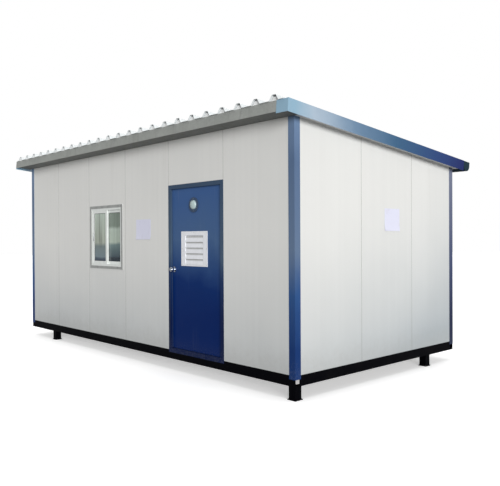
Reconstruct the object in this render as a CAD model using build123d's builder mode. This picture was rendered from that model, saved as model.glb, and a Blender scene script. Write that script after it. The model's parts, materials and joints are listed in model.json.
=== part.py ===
# Portable site cabin: sandwich panel walls on a steel base frame, with a low-slope ribbed roof.
# Frame: X along the long front wall, the front wall faces -Y, Z up from the ground.
# The origin is on the ground under the middle of the roof's outline.
from build123d import *
from math import atan, cos, degrees, radians, sin
import os

os.makedirs("parts", exist_ok=True)

# Overall size, over the outer faces of the walls
cabin_length = 6100
cabin_width = 3050
front_wall_height = 2570
rear_wall_height = 2280
wall_thickness = 50
seam_chamfer = 3

# Feet and base frame
foot_height = 140
foot_size = 90
foot_wall = 6
sole_size = 110
sole_thickness = 10
foot_from_left_end = 800
foot_from_rear = 600
base_height = 110
rail_flange = 65
rail_thickness = 6
joist_count = 10
joist_flange = 50
joist_thickness = 5
deck_thickness = 18

# Wall panels
panel_width = 1000
corner_size = 80
fold_thickness = 3
corner_lap = 40
rear_panel_count = 6
# Extra height that a wall or post starts with before the roof's slope cuts it
slope_allowance = 100

# Door
door_set_width = 1040
door_set_height = 2020
door_from_corner = corner_size + panel_width
jamb_width = 50
stop_lap = 12
stop_depth = 18
door_gap = 7
leaf_thickness = 40
frame_proud = 3
frame_inside_proud = 20
threshold_height = 26
threshold_lap = 30
floor_clearance = 10
hinge_count = 3
hinge_height = 100
knuckles_per_hinge = 3
hinge_radius = 7
hinge_plate = 2.5
hinge_pin_radius = 4
knuckle_gap = 1
hinge_plate_reach = 28
hinge_end_distance = 200
pin_clearance = 0.05
knob_height = 990
knob_from_edge = 55
knob_radius = 31
knob_projection = 74
knob_chamfer = 13
knob_neck_radius = 12
knob_neck_length = 24
spindle_radius = 6
rose_radius = 33
rose_thickness = 8
running_clearance = 0.5
fittings_from_middle = 38
louvre_width = 500
louvre_height = 414
louvre_below_head = 569
louvre_open_width = 340
louvre_open_height = 350
louvre_top_border = 49
louvre_blade_count = 5
louvre_blade_height = 75
louvre_blade_depth = 12
louvre_blade_thickness = 3
louvre_blade_clearance = 2
louvre_plate = 5
louvre_box_wall = 7
louvre_box_depth = 20
port_below_head = 256
port_glass_radius = 56
port_ring_width = 32
port_ring_proud = 12
port_glass_proud = 42
port_glass_chamfer = 24

# Window
window_past_panel_middle = 15
window_width = 890
window_bottom = 950
window_height = 890
window_trim_width = 35
window_trim_proud = 8
window_frame_width = 45
window_frame_lap = 20
sash_stile = 38
sash_thickness = 22
sash_track_gap = 3
glass_thickness = 5

# Roof
front_overhang = 220
side_overhang = 127
roof_panel_thickness = 50
roof_panel_count = 6
roof_panel_gap = 1
batten_height = 50
batten_width = 50
batten_wall = 4
batten_count = 5
sheet_count = 6
sheet_thickness = 2
ribs_per_sheet = 4
rib_base = 130
rib_crest = 52
rib_height = 58
rib_rounding = 16
verge_drop = 30
verge_bottom_flange = 45
verge_end_width = 154
sheet_setback = 57
sheet_nose = 18
eave_drip = 12
soffit_clearance = 2
gutter_width = 150
gutter_depth = 125

# Derived levels, with the ground at zero
half_length = cabin_length / 2
half_width = cabin_width / 2
door_far = door_from_corner + door_set_width
front_face = -half_width
rear_face = half_width
base_top = foot_height + base_height
deck_top = base_top + deck_thickness
wall_bottom = base_top
front_soffit = wall_bottom + front_wall_height
roof_angle = degrees(atan((front_wall_height - rear_wall_height) / cabin_width))
slope_cos = cos(radians(roof_angle))
slope_sin = sin(radians(roof_angle))
wall_inner_front = front_face + wall_thickness
wall_inner_rear = rear_face - wall_thickness
side_wall_run = cabin_width - 2 * wall_thickness

# The roof's own plane: x along the building, y down the slope, origin over the front wall's outer face
roof_plane = Plane(origin=(0, front_face, front_soffit), x_dir=(1, 0, 0), z_dir=(0, slope_sin, slope_cos))
roof_front = -front_overhang / slope_cos
sheet_level = roof_panel_thickness + batten_height
front_reach = front_overhang + 2 * fold_thickness * slope_cos + verge_drop * slope_sin
# The gutter reaches as far behind the rear wall as the roof's front end reaches before the front wall
rear_overhang = front_reach - gutter_width * slope_cos - sheet_level * slope_sin
roof_rear = (cabin_width + rear_overhang) / slope_cos
roof_run = roof_rear - roof_front
roof_middle = (roof_front + roof_rear) / 2
half_roof = half_length + side_overhang
sheet_edge = half_roof - sheet_setback
sheet_width = 2 * sheet_edge / sheet_count
rib_pitch = sheet_width / ribs_per_sheet


def save(part, name):
    """Label a finished piece and write it under its own name."""
    part.label = name
    export_step(part, f"parts/{name}.step")


def from_corner(distance):
    """X of a point on the front wall, from its distance to the right-hand corner."""
    return half_length - distance


def slope_section(distance):
    """Plane across the slope, with x along the building and y square to the roof."""
    middle = roof_plane.from_local_coords(Vector(0, distance, 0))
    return Plane(origin=middle, x_dir=(1, 0, 0), z_dir=-roof_plane.y_dir)


# Base frame


def channel_profile(height, flange, thickness):
    """Channel section with its web on the sketch's left edge and its flanges to the right."""
    with BuildSketch() as profile:
        Rectangle(flange, height, align=(Align.MIN, Align.MIN))
        with Locations((thickness, thickness)):
            Rectangle(flange, height - 2 * thickness, align=(Align.MIN, Align.MIN), mode=Mode.SUBTRACT)
    return profile.sketch


def rail(corner, inward, along, length):
    """Base rail that starts at a corner, with its flanges pointing inward."""
    section = Plane(origin=corner, x_dir=inward, z_dir=along)
    with BuildPart() as piece:
        with BuildSketch(section):
            add(channel_profile(base_height, rail_flange, rail_thickness))
        extrude(amount=length)
    return piece.part


def base_frame():
    """Four rails around the base."""
    side_length = cabin_width - 2 * rail_flange
    side_start = front_face + rail_flange
    # The rails run round the base, anticlockwise from above, so that each section's own y axis points up
    front = rail((-half_length, front_face, foot_height), (0, 1, 0), (1, 0, 0), cabin_length)
    rear = rail((half_length, rear_face, foot_height), (0, -1, 0), (-1, 0, 0), cabin_length)
    right = rail((half_length, side_start, foot_height), (-1, 0, 0), (0, 1, 0), side_length)
    left = rail((-half_length, -side_start, foot_height), (1, 0, 0), (0, -1, 0), side_length)
    save(front, "base_front_rail")
    save(rear, "base_rear_rail")
    save(right, "base_right_rail")
    save(left, "base_left_rail")


def base_joists():
    """Cross joists, coped at both ends to fit inside the rails."""
    joist_length = cabin_width - 2 * rail_thickness
    cope = rail_flange - rail_thickness
    spacing = cabin_length / (joist_count + 1)
    with BuildPart() as joists:
        for index in range(joist_count):
            x = -half_length + spacing * (index + 1) - joist_flange / 2
            start = Plane(origin=(x, -joist_length / 2, foot_height), x_dir=(1, 0, 0), z_dir=(0, -1, 0))
            with BuildSketch(start):
                add(channel_profile(base_height, joist_flange, joist_thickness))
            extrude(amount=-joist_length)
        for side in (-1, 1):
            for level in (foot_height, base_top - rail_thickness):
                with Locations((0, side * (joist_length / 2 - cope / 2), level)):
                    Box(
                        cabin_length,
                        cope,
                        rail_thickness,
                        align=(Align.CENTER, Align.CENTER, Align.MIN),
                        mode=Mode.SUBTRACT,
                    )
    save(joists.part, "base_cross_joists")


def feet():
    """Four short box stubs with sole plates, where the photo shows them and mirrored on the left side."""
    inset = sole_size / 2
    places = (
        (half_length - inset, front_face + inset),
        (-half_length + foot_from_left_end, front_face + inset),
        (half_length - inset, rear_face - foot_from_rear),
        (-half_length + inset, rear_face - foot_from_rear),
    )
    with BuildPart() as stubs:
        with BuildSketch():
            with Locations(*places):
                Rectangle(sole_size, sole_size)
        extrude(amount=sole_thickness)
        with BuildSketch(Plane.XY.offset(sole_thickness)):
            with Locations(*places):
                Rectangle(foot_size, foot_size)
                Rectangle(foot_size - 2 * foot_wall, foot_size - 2 * foot_wall, mode=Mode.SUBTRACT)
        extrude(amount=foot_height - sole_thickness)
    save(stubs.part, "feet")


def deck():
    """Floor board between the walls, on the joists and the rails' inner edges."""
    with BuildPart() as board:
        with BuildSketch(Plane.XY.offset(base_top)):
            Rectangle(cabin_length - 2 * wall_thickness, side_wall_run)
        extrude(amount=deck_thickness)
    save(board.part, "floor_deck")


# Walls


def panel_profile(middle, width, run_along_x):
    """Plan outline of a wall panel with small chamfers that show as a seam beside the next panel."""
    size = (width, wall_thickness) if run_along_x else (wall_thickness, width)
    with BuildSketch() as plan:
        with Locations(middle):
            Rectangle(*size)
        chamfer(plan.vertices(), length=seam_chamfer)
    return plan.sketch


def wall_panel(middle, width, bottom, run_along_x=True):
    """Wall panel from a level up to the sloping underside of the roof."""
    with BuildPart() as panel:
        with BuildSketch(Plane.XY.offset(bottom)):
            add(panel_profile(middle, width, run_along_x))
        extrude(amount=front_soffit + slope_allowance - bottom)
        split(bisect_by=roof_plane, keep=Keep.BOTTOM)
    return panel.part


def front_wall():
    """Front wall: one panel over the door, one cut through for the window, and two that share the left end."""
    y = front_face + wall_thickness / 2
    left_start = door_far + 2 * panel_width
    edges = (
        0,
        door_from_corner,
        door_far,
        door_far + panel_width,
        left_start,
        (left_start + cabin_length) / 2,
        cabin_length,
    )
    names = ("right_end", "over_door", "middle", "window", "left", "left_end")
    for start, end, name in zip(edges, edges[1:], names):
        middle = (from_corner((start + end) / 2), y)
        bottom = door_top if name == "over_door" else wall_bottom
        with BuildPart() as panel:
            add(wall_panel(middle, end - start, bottom))
            if name == "window":
                with BuildSketch(window_plane(front_face)):
                    Rectangle(window_hole_width, window_hole_height)
                extrude(amount=-wall_thickness, mode=Mode.SUBTRACT)
        save(panel.part, f"front_wall_{name}")


def rear_wall():
    """Rear wall of plain panels of one width."""
    y = rear_face - wall_thickness / 2
    width = cabin_length / rear_panel_count
    for index in range(rear_panel_count):
        middle = (-half_length + width * (index + 0.5), y)
        save(wall_panel(middle, width, wall_bottom), f"rear_wall_panel_{index + 1}")


def side_walls():
    """Three panels on each side, cut to the roof's slope, between the front and rear walls."""
    first_seam = front_face + corner_size + panel_width
    second_seam = first_seam + panel_width
    edges = (wall_inner_front, first_seam, second_seam, wall_inner_rear)
    for side, side_name in ((1, "right"), (-1, "left")):
        x = side * (half_length - wall_thickness / 2)
        for start, end, name in zip(edges, edges[1:], ("front", "middle", "rear")):
            middle = (x, (start + end) / 2)
            panel = wall_panel(middle, end - start, wall_bottom, run_along_x=False)
            save(panel, f"{side_name}_wall_{name}")


def corner_posts():
    """Folded angles over the four corners, lapping down over the base."""
    low = wall_bottom - corner_lap
    reach = corner_size + fold_thickness
    for side, side_name in ((1, "right"), (-1, "left")):
        for end, end_name in ((-1, "front"), (1, "rear")):
            outer = (side * (half_length + fold_thickness), end * (half_width + fold_thickness))
            with BuildPart() as post:
                with BuildSketch(Plane.XY.offset(low)):
                    with Locations((outer[0] - side * reach / 2, outer[1] - end * reach / 2)):
                        Rectangle(reach, reach)
                    inner = (outer[0] - side * (fold_thickness + corner_size / 2),
                             outer[1] - end * (fold_thickness + corner_size / 2))
                    with Locations(inner):
                        Rectangle(corner_size, corner_size, mode=Mode.SUBTRACT)
                extrude(amount=front_soffit + slope_allowance - low)
                split(bisect_by=roof_plane, keep=Keep.BOTTOM)
            save(post.part, f"corner_post_{end_name}_{side_name}")


# Door

door_middle = from_corner((door_from_corner + door_far) / 2)
door_top = wall_bottom + door_set_height
stop_width = door_set_width - 2 * jamb_width
stop_top = door_top - jamb_width
rebate_width = stop_width + 2 * (stop_lap + door_gap)
rebate_top = stop_top + stop_lap + door_gap
leaf_width = rebate_width - 2 * door_gap
leaf_top = rebate_top - door_gap
leaf_bottom = deck_top + floor_clearance
leaf_outer = front_face + stop_depth + door_gap
leaf_inner = leaf_outer + leaf_thickness
leaf_right = door_middle + leaf_width / 2
leaf_left = door_middle - leaf_width / 2
frame_outer = front_face - frame_proud
frame_inner = wall_inner_front + frame_inside_proud
hinge_x = leaf_right + door_gap / 2
hinge_y = frame_inner + hinge_radius + knuckle_gap
knuckle = hinge_height / knuckles_per_hinge
knob_x = leaf_left + knob_from_edge
knob_z = wall_bottom + knob_height
# The louvre and the port sit a little towards the knob from the leaf's middle
fittings_x = door_middle - fittings_from_middle
port_z = door_top - port_below_head
louvre_z = door_top - louvre_below_head - louvre_height / 2
louvre_open_top = door_top - louvre_below_head - louvre_top_border
louvre_open_z = louvre_open_top - louvre_open_height / 2
louvre_box_width = louvre_open_width + 2 * louvre_box_wall
louvre_box_height = louvre_open_height + 2 * louvre_box_wall


def front_plane(y):
    """Upright plane that faces the front, with x along the building and y up from the ground."""
    return Plane(origin=(0, y, 0), x_dir=(1, 0, 0), z_dir=(0, -1, 0))


def door_frame():
    """Rebated steel frame: jambs, head and threshold, with a lip that laps over the base."""
    depth = frame_inner - frame_outer
    stop_face = front_face + stop_depth
    with BuildPart() as frame:
        with BuildSketch(front_plane(frame_outer)):
            with Locations((door_middle, wall_bottom)):
                Rectangle(door_set_width, door_set_height, align=(Align.CENTER, Align.MIN))
        extrude(amount=-depth)
        with BuildSketch(front_plane(frame_outer)):
            with Locations((door_middle, wall_bottom + threshold_height)):
                Rectangle(stop_width, stop_top - wall_bottom - threshold_height, align=(Align.CENTER, Align.MIN))
        extrude(amount=-depth, mode=Mode.SUBTRACT)
        with BuildSketch(front_plane(stop_face)):
            with Locations((door_middle, wall_bottom + threshold_height)):
                Rectangle(rebate_width, rebate_top - wall_bottom - threshold_height, align=(Align.CENTER, Align.MIN))
        extrude(amount=-depth, mode=Mode.SUBTRACT)
        with BuildSketch(front_plane(frame_outer)):
            with Locations((door_middle, wall_bottom - threshold_lap)):
                Rectangle(door_set_width, threshold_lap, align=(Align.CENTER, Align.MIN))
        extrude(amount=-frame_proud)
        # The deck's edge and the threshold share the doorway behind the wall line
        with BuildSketch(Plane.XY.offset(wall_bottom)):
            with Locations((door_middle, wall_inner_front)):
                Rectangle(door_set_width, frame_inside_proud, align=(Align.CENTER, Align.MIN))
        extrude(amount=deck_thickness, mode=Mode.SUBTRACT)
    save(frame.part, "door_frame")


def door_leaf():
    """Flush leaf, cut through for the louvre and the round port, and bored for the knob's spindle."""
    height = leaf_top - leaf_bottom
    with BuildPart() as leaf:
        with BuildSketch(front_plane(leaf_outer)):
            with Locations((door_middle, leaf_bottom)):
                Rectangle(leaf_width, height, align=(Align.CENTER, Align.MIN))
        extrude(amount=-leaf_thickness)
        with BuildSketch(front_plane(leaf_outer)):
            with Locations((fittings_x, louvre_open_z)):
                Rectangle(louvre_box_width, louvre_box_height)
            with Locations((fittings_x, port_z)):
                Circle(port_glass_radius)
            with Locations((knob_x, knob_z)):
                Circle(spindle_radius + pin_clearance)
        extrude(amount=-leaf_thickness, mode=Mode.SUBTRACT)
    save(leaf.part, "door_leaf")


def louvre():
    """Vent with a flat plate, a box through the leaf's outer half, and lapping blades with slots between."""
    front = leaf_outer - louvre_plate
    back = leaf_outer + louvre_blade_depth
    first_low = louvre_open_top - louvre_open_height + louvre_blade_clearance
    last_low = louvre_open_top - louvre_blade_clearance - louvre_blade_height
    pitch = (last_low - first_low) / (louvre_blade_count - 1)
    with BuildPart() as vent:
        with BuildSketch(front_plane(leaf_outer)):
            with Locations((fittings_x, louvre_z)):
                Rectangle(louvre_width, louvre_height)
            with Locations((fittings_x, louvre_open_z)):
                Rectangle(louvre_open_width, louvre_open_height, mode=Mode.SUBTRACT)
        extrude(amount=louvre_plate)
        with BuildSketch(front_plane(leaf_outer)):
            with Locations((fittings_x, louvre_open_z)):
                Rectangle(louvre_box_width, louvre_box_height)
                Rectangle(louvre_open_width, louvre_open_height, mode=Mode.SUBTRACT)
        extrude(amount=-louvre_box_depth)
        for index in range(louvre_blade_count):
            low = first_low + pitch * index
            high = low + louvre_blade_height
            with BuildSketch(Plane.YZ.offset(fittings_x - louvre_open_width / 2)):
                with BuildLine():
                    Polyline(
                        (front, low),
                        (front + louvre_blade_thickness, low),
                        (back, high),
                        (back - louvre_blade_thickness, high),
                        close=True,
                    )
                make_face()
            extrude(amount=louvre_open_width)
    save(vent.part, "door_louvre")


def port():
    """Round port: a flat ring on the leaf and a thick lens with a bevelled face."""
    centre = (fittings_x, port_z)
    with BuildPart() as ring:
        with BuildSketch(front_plane(leaf_outer)):
            with Locations(centre):
                Circle(port_glass_radius + port_ring_width)
                Circle(port_glass_radius, mode=Mode.SUBTRACT)
        extrude(amount=port_ring_proud)
    save(ring.part, "door_port_ring")
    with BuildPart() as lens:
        with BuildSketch(front_plane(leaf_outer - port_glass_proud)):
            with Locations(centre):
                Circle(port_glass_radius)
        extrude(amount=-(port_glass_proud + leaf_thickness))
        chamfer(lens.faces().sort_by(Axis.Y)[0].edges(), length=port_glass_chamfer)
    save(lens.part, "door_port_lens")


def hinge_levels():
    """Lowest point of each hinge, spread evenly up the leaf."""
    first = leaf_bottom + hinge_end_distance
    last = leaf_top - hinge_end_distance - hinge_height
    return [first + (last - first) * index / (hinge_count - 1) for index in range(hinge_count)]


def hinges():
    """Butt hinges on the inner side: two knuckles and the pin on the jamb, one knuckle on the leaf."""
    low_side = (Align.CENTER, Align.CENTER, Align.MIN)
    with BuildPart() as fixed:
        for low in hinge_levels():
            with Locations((hinge_x, hinge_y, low)):
                Cylinder(hinge_pin_radius, hinge_height, align=low_side)
            for level in (low, low + 2 * knuckle):
                with Locations((hinge_x, hinge_y, level)):
                    Cylinder(hinge_radius, knuckle, align=low_side)
                with Locations((hinge_x, frame_inner, level)):
                    Box(hinge_plate_reach, hinge_plate, knuckle, align=(Align.MIN, Align.MIN, Align.MIN))
    save(fixed.part, "door_hinges_fixed")
    plate_depth = frame_inner + knuckle_gap + hinge_plate - leaf_inner
    moving_height = knuckle - 2 * knuckle_gap
    with BuildPart() as moving:
        for low in hinge_levels():
            level = low + knuckle + knuckle_gap
            with Locations((hinge_x, hinge_y, level)):
                Cylinder(hinge_radius, moving_height, align=low_side)
            with Locations((hinge_x, leaf_inner, level)):
                Box(hinge_plate_reach, plate_depth, moving_height, align=(Align.MAX, Align.MIN, Align.MIN))
            with Locations((hinge_x, hinge_y, level)):
                Cylinder(hinge_pin_radius + pin_clearance, moving_height, align=low_side, mode=Mode.SUBTRACT)
    save(moving.part, "door_hinges_moving")


def knob():
    """Round knobs on both sides of one spindle, and the fixed roses that their necks turn in."""
    steps = (
        (leaf_thickness / 2 + running_clearance, 0, spindle_radius),
        (leaf_thickness / 2 + knob_neck_length, leaf_thickness / 2 + running_clearance, knob_neck_radius),
        (leaf_thickness / 2 + knob_projection, leaf_thickness / 2 + knob_neck_length, knob_radius),
    )
    middle = leaf_outer + leaf_thickness / 2
    with BuildPart() as handle:
        for side in (-1, 1):
            for far, near, radius in steps:
                with BuildSketch(front_plane(middle - side * near)):
                    with Locations((knob_x, knob_z)):
                        Circle(radius)
                extrude(amount=side * (far - near))
        ends = handle.faces().filter_by(Axis.Y).sort_by(Axis.Y)
        chamfer(ends[0].edges() + ends[-1].edges(), length=knob_chamfer)
    save(handle.part, "door_knob")
    with BuildPart() as roses:
        for face, outward in ((leaf_outer, 1), (leaf_inner, -1)):
            with BuildSketch(front_plane(face)):
                with Locations((knob_x, knob_z)):
                    Circle(rose_radius)
                    Circle(knob_neck_radius + running_clearance, mode=Mode.SUBTRACT)
            extrude(amount=outward * rose_thickness)
    save(roses.part, "door_knob_roses")


# Window

window_middle_x = from_corner(door_far + 1.5 * panel_width + window_past_panel_middle)
window_middle_z = wall_bottom + window_bottom + window_height / 2
window_hole_width = window_width - 2 * window_frame_lap
window_hole_height = window_height - 2 * window_frame_lap


def window_plane(y):
    """Upright plane facing the front with its origin in the middle of the window."""
    return Plane(origin=(window_middle_x, y, window_middle_z), x_dir=(1, 0, 0), z_dir=(0, -1, 0))


def ring_piece(plane, width, height, member, depth):
    """Rectangular ring with one member width, extruded inward from a plane."""
    with BuildPart() as ring:
        with BuildSketch(plane):
            Rectangle(width, height)
            Rectangle(width - 2 * member, height - 2 * member, mode=Mode.SUBTRACT)
        extrude(amount=-depth)
    return ring.part


def window():
    """Outer trim, frame, two sliding sashes in their own tracks, and their panes."""
    trim = ring_piece(
        window_plane(front_face - window_trim_proud),
        window_width,
        window_height,
        window_trim_width,
        window_trim_proud,
    )
    save(trim, "window_trim")
    frame_depth = wall_thickness + window_trim_proud
    frame = ring_piece(window_plane(front_face), window_hole_width, window_hole_height, window_frame_width, frame_depth)
    save(frame, "window_frame")
    inside_width = window_hole_width - 2 * window_frame_width
    inside_height = window_hole_height - 2 * window_frame_width
    sash_width = (inside_width + sash_stile) / 2
    for side, name, track in ((-1, "left", 0), (1, "right", 1)):
        y = front_face + sash_track_gap + track * (sash_thickness + sash_track_gap)
        x = side * (inside_width - sash_width) / 2
        plane = window_plane(y)
        plane.origin = plane.origin + Vector(x, 0, 0)
        sash = ring_piece(plane, sash_width, inside_height, sash_stile, sash_thickness)
        save(sash, f"window_sash_{name}")
        with BuildPart() as pane:
            with BuildSketch(plane.offset(-(sash_thickness - glass_thickness) / 2)):
                Rectangle(sash_width - 2 * sash_stile, inside_height - 2 * sash_stile)
            extrude(amount=-glass_thickness)
        save(pane.part, f"window_glass_{name}")


# Roof


def roof_block(low, high, left, right, front, rear):
    """Flat block in the roof's plane, between two heights above the soffit."""
    with BuildPart() as block:
        with BuildSketch(roof_plane.offset(low)):
            with Locations(((left + right) / 2, (front + rear) / 2)):
                Rectangle(right - left, rear - front)
        extrude(amount=high - low)
    return block.part


def roof_panels():
    """Insulated roof panels side by side; their undersides are the ceiling."""
    inside = half_roof - fold_thickness
    width = 2 * inside / roof_panel_count
    with BuildPart() as panels:
        with BuildSketch(roof_plane):
            for index in range(roof_panel_count):
                with Locations((-inside + width * (index + 0.5), roof_middle)):
                    Rectangle(width - roof_panel_gap, roof_run)
        extrude(amount=roof_panel_thickness)
    save(panels.part, "roof_panels")


def battens():
    """Square tubes along the building that carry the ribbed sheets."""
    first = roof_front + batten_width / 2
    last = roof_rear - batten_width / 2
    with BuildPart() as tubes:
        for index in range(batten_count):
            distance = first + (last - first) * index / (batten_count - 1)
            middle = roof_plane.from_local_coords(Vector(-sheet_edge, distance, roof_panel_thickness + batten_height / 2))
            with BuildSketch(Plane(origin=middle, x_dir=roof_plane.y_dir, z_dir=(1, 0, 0))):
                Rectangle(batten_width, batten_height)
                Rectangle(batten_width - 2 * batten_wall, batten_height - 2 * batten_wall, mode=Mode.SUBTRACT)
            extrude(amount=2 * sheet_edge)
    save(tubes.part, "roof_battens")


def rib_outline(inset):
    """Rounded arch of one rib, drawn in by an inset on its upper side."""
    with BuildSketch() as outline:
        with BuildLine():
            Polyline(
                (-rib_base / 2 + inset, 0),
                (-rib_crest / 2 + inset / 2, rib_height - inset),
                (rib_crest / 2 - inset / 2, rib_height - inset),
                (rib_base / 2 - inset, 0),
                close=True,
            )
        make_face()
        fillet(outline.vertices().group_by(Axis.Y)[-1], radius=rib_rounding - inset / 2)
    return outline.sketch


def roof_sheets():
    """Ribbed sheets, with hollow ribs that run down the slope and stay open at both ends."""
    ribs = [(rib_pitch * (index - (ribs_per_sheet - 1) / 2), sheet_level) for index in range(ribs_per_sheet)]
    front = roof_front - sheet_nose
    run = roof_run + 2 * sheet_nose
    for index in range(sheet_count):
        middle = sheet_width * (index - (sheet_count - 1) / 2)
        section = slope_section(front)
        section.origin = section.origin + Vector(middle, 0, 0)
        with BuildPart() as sheet:
            with BuildSketch(section):
                with Locations((0, sheet_level)):
                    Rectangle(sheet_width, sheet_thickness, align=(Align.CENTER, Align.MIN))
                with Locations(*ribs):
                    add(rib_outline(0))
                with Locations(*ribs):
                    add(rib_outline(sheet_thickness), mode=Mode.SUBTRACT)
            extrude(amount=-run)
        save(sheet.part, f"roof_sheet_{index + 1}")


def eave_trim():
    """Trim across the front eave with a drip edge, and a soffit sheet that returns to the front wall."""
    inside = half_roof - fold_thickness
    soffit_side = half_roof - verge_bottom_flange
    soffit_rear = -fold_thickness - soffit_clearance
    with BuildPart() as trim:
        add(roof_block(-eave_drip, sheet_level, -half_roof, inside, roof_front - fold_thickness, roof_front))
        add(roof_block(-fold_thickness, 0, -soffit_side, soffit_side, roof_front, soffit_rear))
    save(trim.part, "front_eave_trim")


def verges():
    """Folded flashings along both sides; the right-hand one is closed in front of the eave trim."""
    top = sheet_level + sheet_thickness
    for side, name in ((1, "right"), (-1, "left")):

        def span(distance):
            """Left and right limits of a strip that reaches inward from the verge's outer edge."""
            return sorted((side * half_roof, side * (half_roof - distance)))

        is_closed = side > 0
        closed_end = roof_front - 2 * fold_thickness
        front = closed_end if is_closed else roof_front
        with BuildPart() as verge:
            add(roof_block(-verge_drop, top, *span(fold_thickness), front, roof_rear))
            add(roof_block(-fold_thickness, 0, *span(verge_bottom_flange), roof_front, roof_rear))
            add(roof_block(top - fold_thickness, top, *span(sheet_setback), roof_front, roof_rear))
            if is_closed:
                closure_rear = roof_front - fold_thickness
                add(roof_block(-verge_drop, sheet_level, *span(verge_end_width), closed_end, closure_rear))
        save(verge.part, f"verge_flashing_{name}")


def gutter():
    """Round-bottomed gutter along the rear eave with closed ends."""
    radius = gutter_width / 2
    start = roof_plane.from_local_coords(Vector(-half_roof, roof_rear, sheet_level - gutter_depth))
    ends = (0, fold_thickness)
    with BuildPart() as trough:
        for inset, length in zip(ends, (2 * half_roof, 2 * (half_roof - fold_thickness))):
            section = Plane(origin=start + Vector(inset, 0, 0), x_dir=roof_plane.y_dir, z_dir=(1, 0, 0))
            with BuildSketch(section):
                with Locations((radius, radius)):
                    Circle(radius - inset)
                    Rectangle(
                        gutter_width - 2 * inset,
                        gutter_depth - radius,
                        align=(Align.CENTER, Align.MIN),
                    )
                # The mouth stays open where the bottom's full circle would close it
                with Locations((radius, gutter_depth)):
                    Rectangle(gutter_width, radius, align=(Align.CENTER, Align.MIN), mode=Mode.SUBTRACT)
            extrude(amount=length, mode=Mode.SUBTRACT if inset else Mode.ADD)
    save(trough.part, "rear_gutter")


base_frame()
base_joists()
feet()
deck()
front_wall()
rear_wall()
side_walls()
corner_posts()
door_frame()
door_leaf()
louvre()
port()
hinges()
knob()
window()
roof_panels()
battens()
roof_sheets()
eave_trim()
verges()
gutter()
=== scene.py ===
"""Looks of the portable site cabin: finishes, small fittings, camera, light and floor.

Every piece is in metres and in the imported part's own frame: X runs along the front wall, the front wall
faces -Y, and Z is up from the ground.
"""

import json
import logging
import math
from dataclasses import dataclass, field
from enum import Enum
from typing import Any, Iterable, Sequence, Union

import bmesh
import bpy
from mathutils import Matrix, Vector

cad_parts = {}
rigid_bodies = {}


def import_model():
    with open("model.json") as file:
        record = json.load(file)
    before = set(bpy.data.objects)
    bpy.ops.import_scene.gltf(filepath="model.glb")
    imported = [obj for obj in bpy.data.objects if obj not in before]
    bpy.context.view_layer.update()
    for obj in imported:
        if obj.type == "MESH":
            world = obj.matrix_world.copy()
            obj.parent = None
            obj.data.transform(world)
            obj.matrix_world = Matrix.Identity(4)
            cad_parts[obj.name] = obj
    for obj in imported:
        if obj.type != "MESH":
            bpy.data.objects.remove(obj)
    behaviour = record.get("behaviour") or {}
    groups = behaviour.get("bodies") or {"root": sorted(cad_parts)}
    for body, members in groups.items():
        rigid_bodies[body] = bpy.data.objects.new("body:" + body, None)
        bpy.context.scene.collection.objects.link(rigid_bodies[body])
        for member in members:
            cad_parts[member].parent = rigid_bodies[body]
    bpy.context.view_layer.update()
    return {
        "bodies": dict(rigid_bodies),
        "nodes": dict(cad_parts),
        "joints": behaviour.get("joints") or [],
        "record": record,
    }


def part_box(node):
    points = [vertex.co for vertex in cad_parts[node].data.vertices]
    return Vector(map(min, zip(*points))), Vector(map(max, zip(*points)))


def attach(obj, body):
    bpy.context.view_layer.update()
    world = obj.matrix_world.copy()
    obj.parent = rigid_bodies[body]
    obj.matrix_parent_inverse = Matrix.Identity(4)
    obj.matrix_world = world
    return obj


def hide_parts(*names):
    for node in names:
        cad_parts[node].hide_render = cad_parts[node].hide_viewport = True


LOG = logging.getLogger("cabin")

Term = Union["Wire", float, int]
Colour = tuple[float, float, float]
Point = tuple[float, float, float]

SHARP_DEGREES = 35


def srgb(red: int, green: int, blue: int) -> Colour:
    """Linear colour of a display colour.

    Args:
        red: Red from 0 to 255.
        green: Green from 0 to 255.
        blue: Blue from 0 to 255.

    Returns:
        The three linear values.
    """

    def linear(value: float) -> float:
        """One channel from display to linear."""
        share = value / 255
        return share / 12.92 if share <= 0.04045 else ((share + 0.055) / 1.055) ** 2.4

    return linear(red), linear(green), linear(blue)


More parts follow.
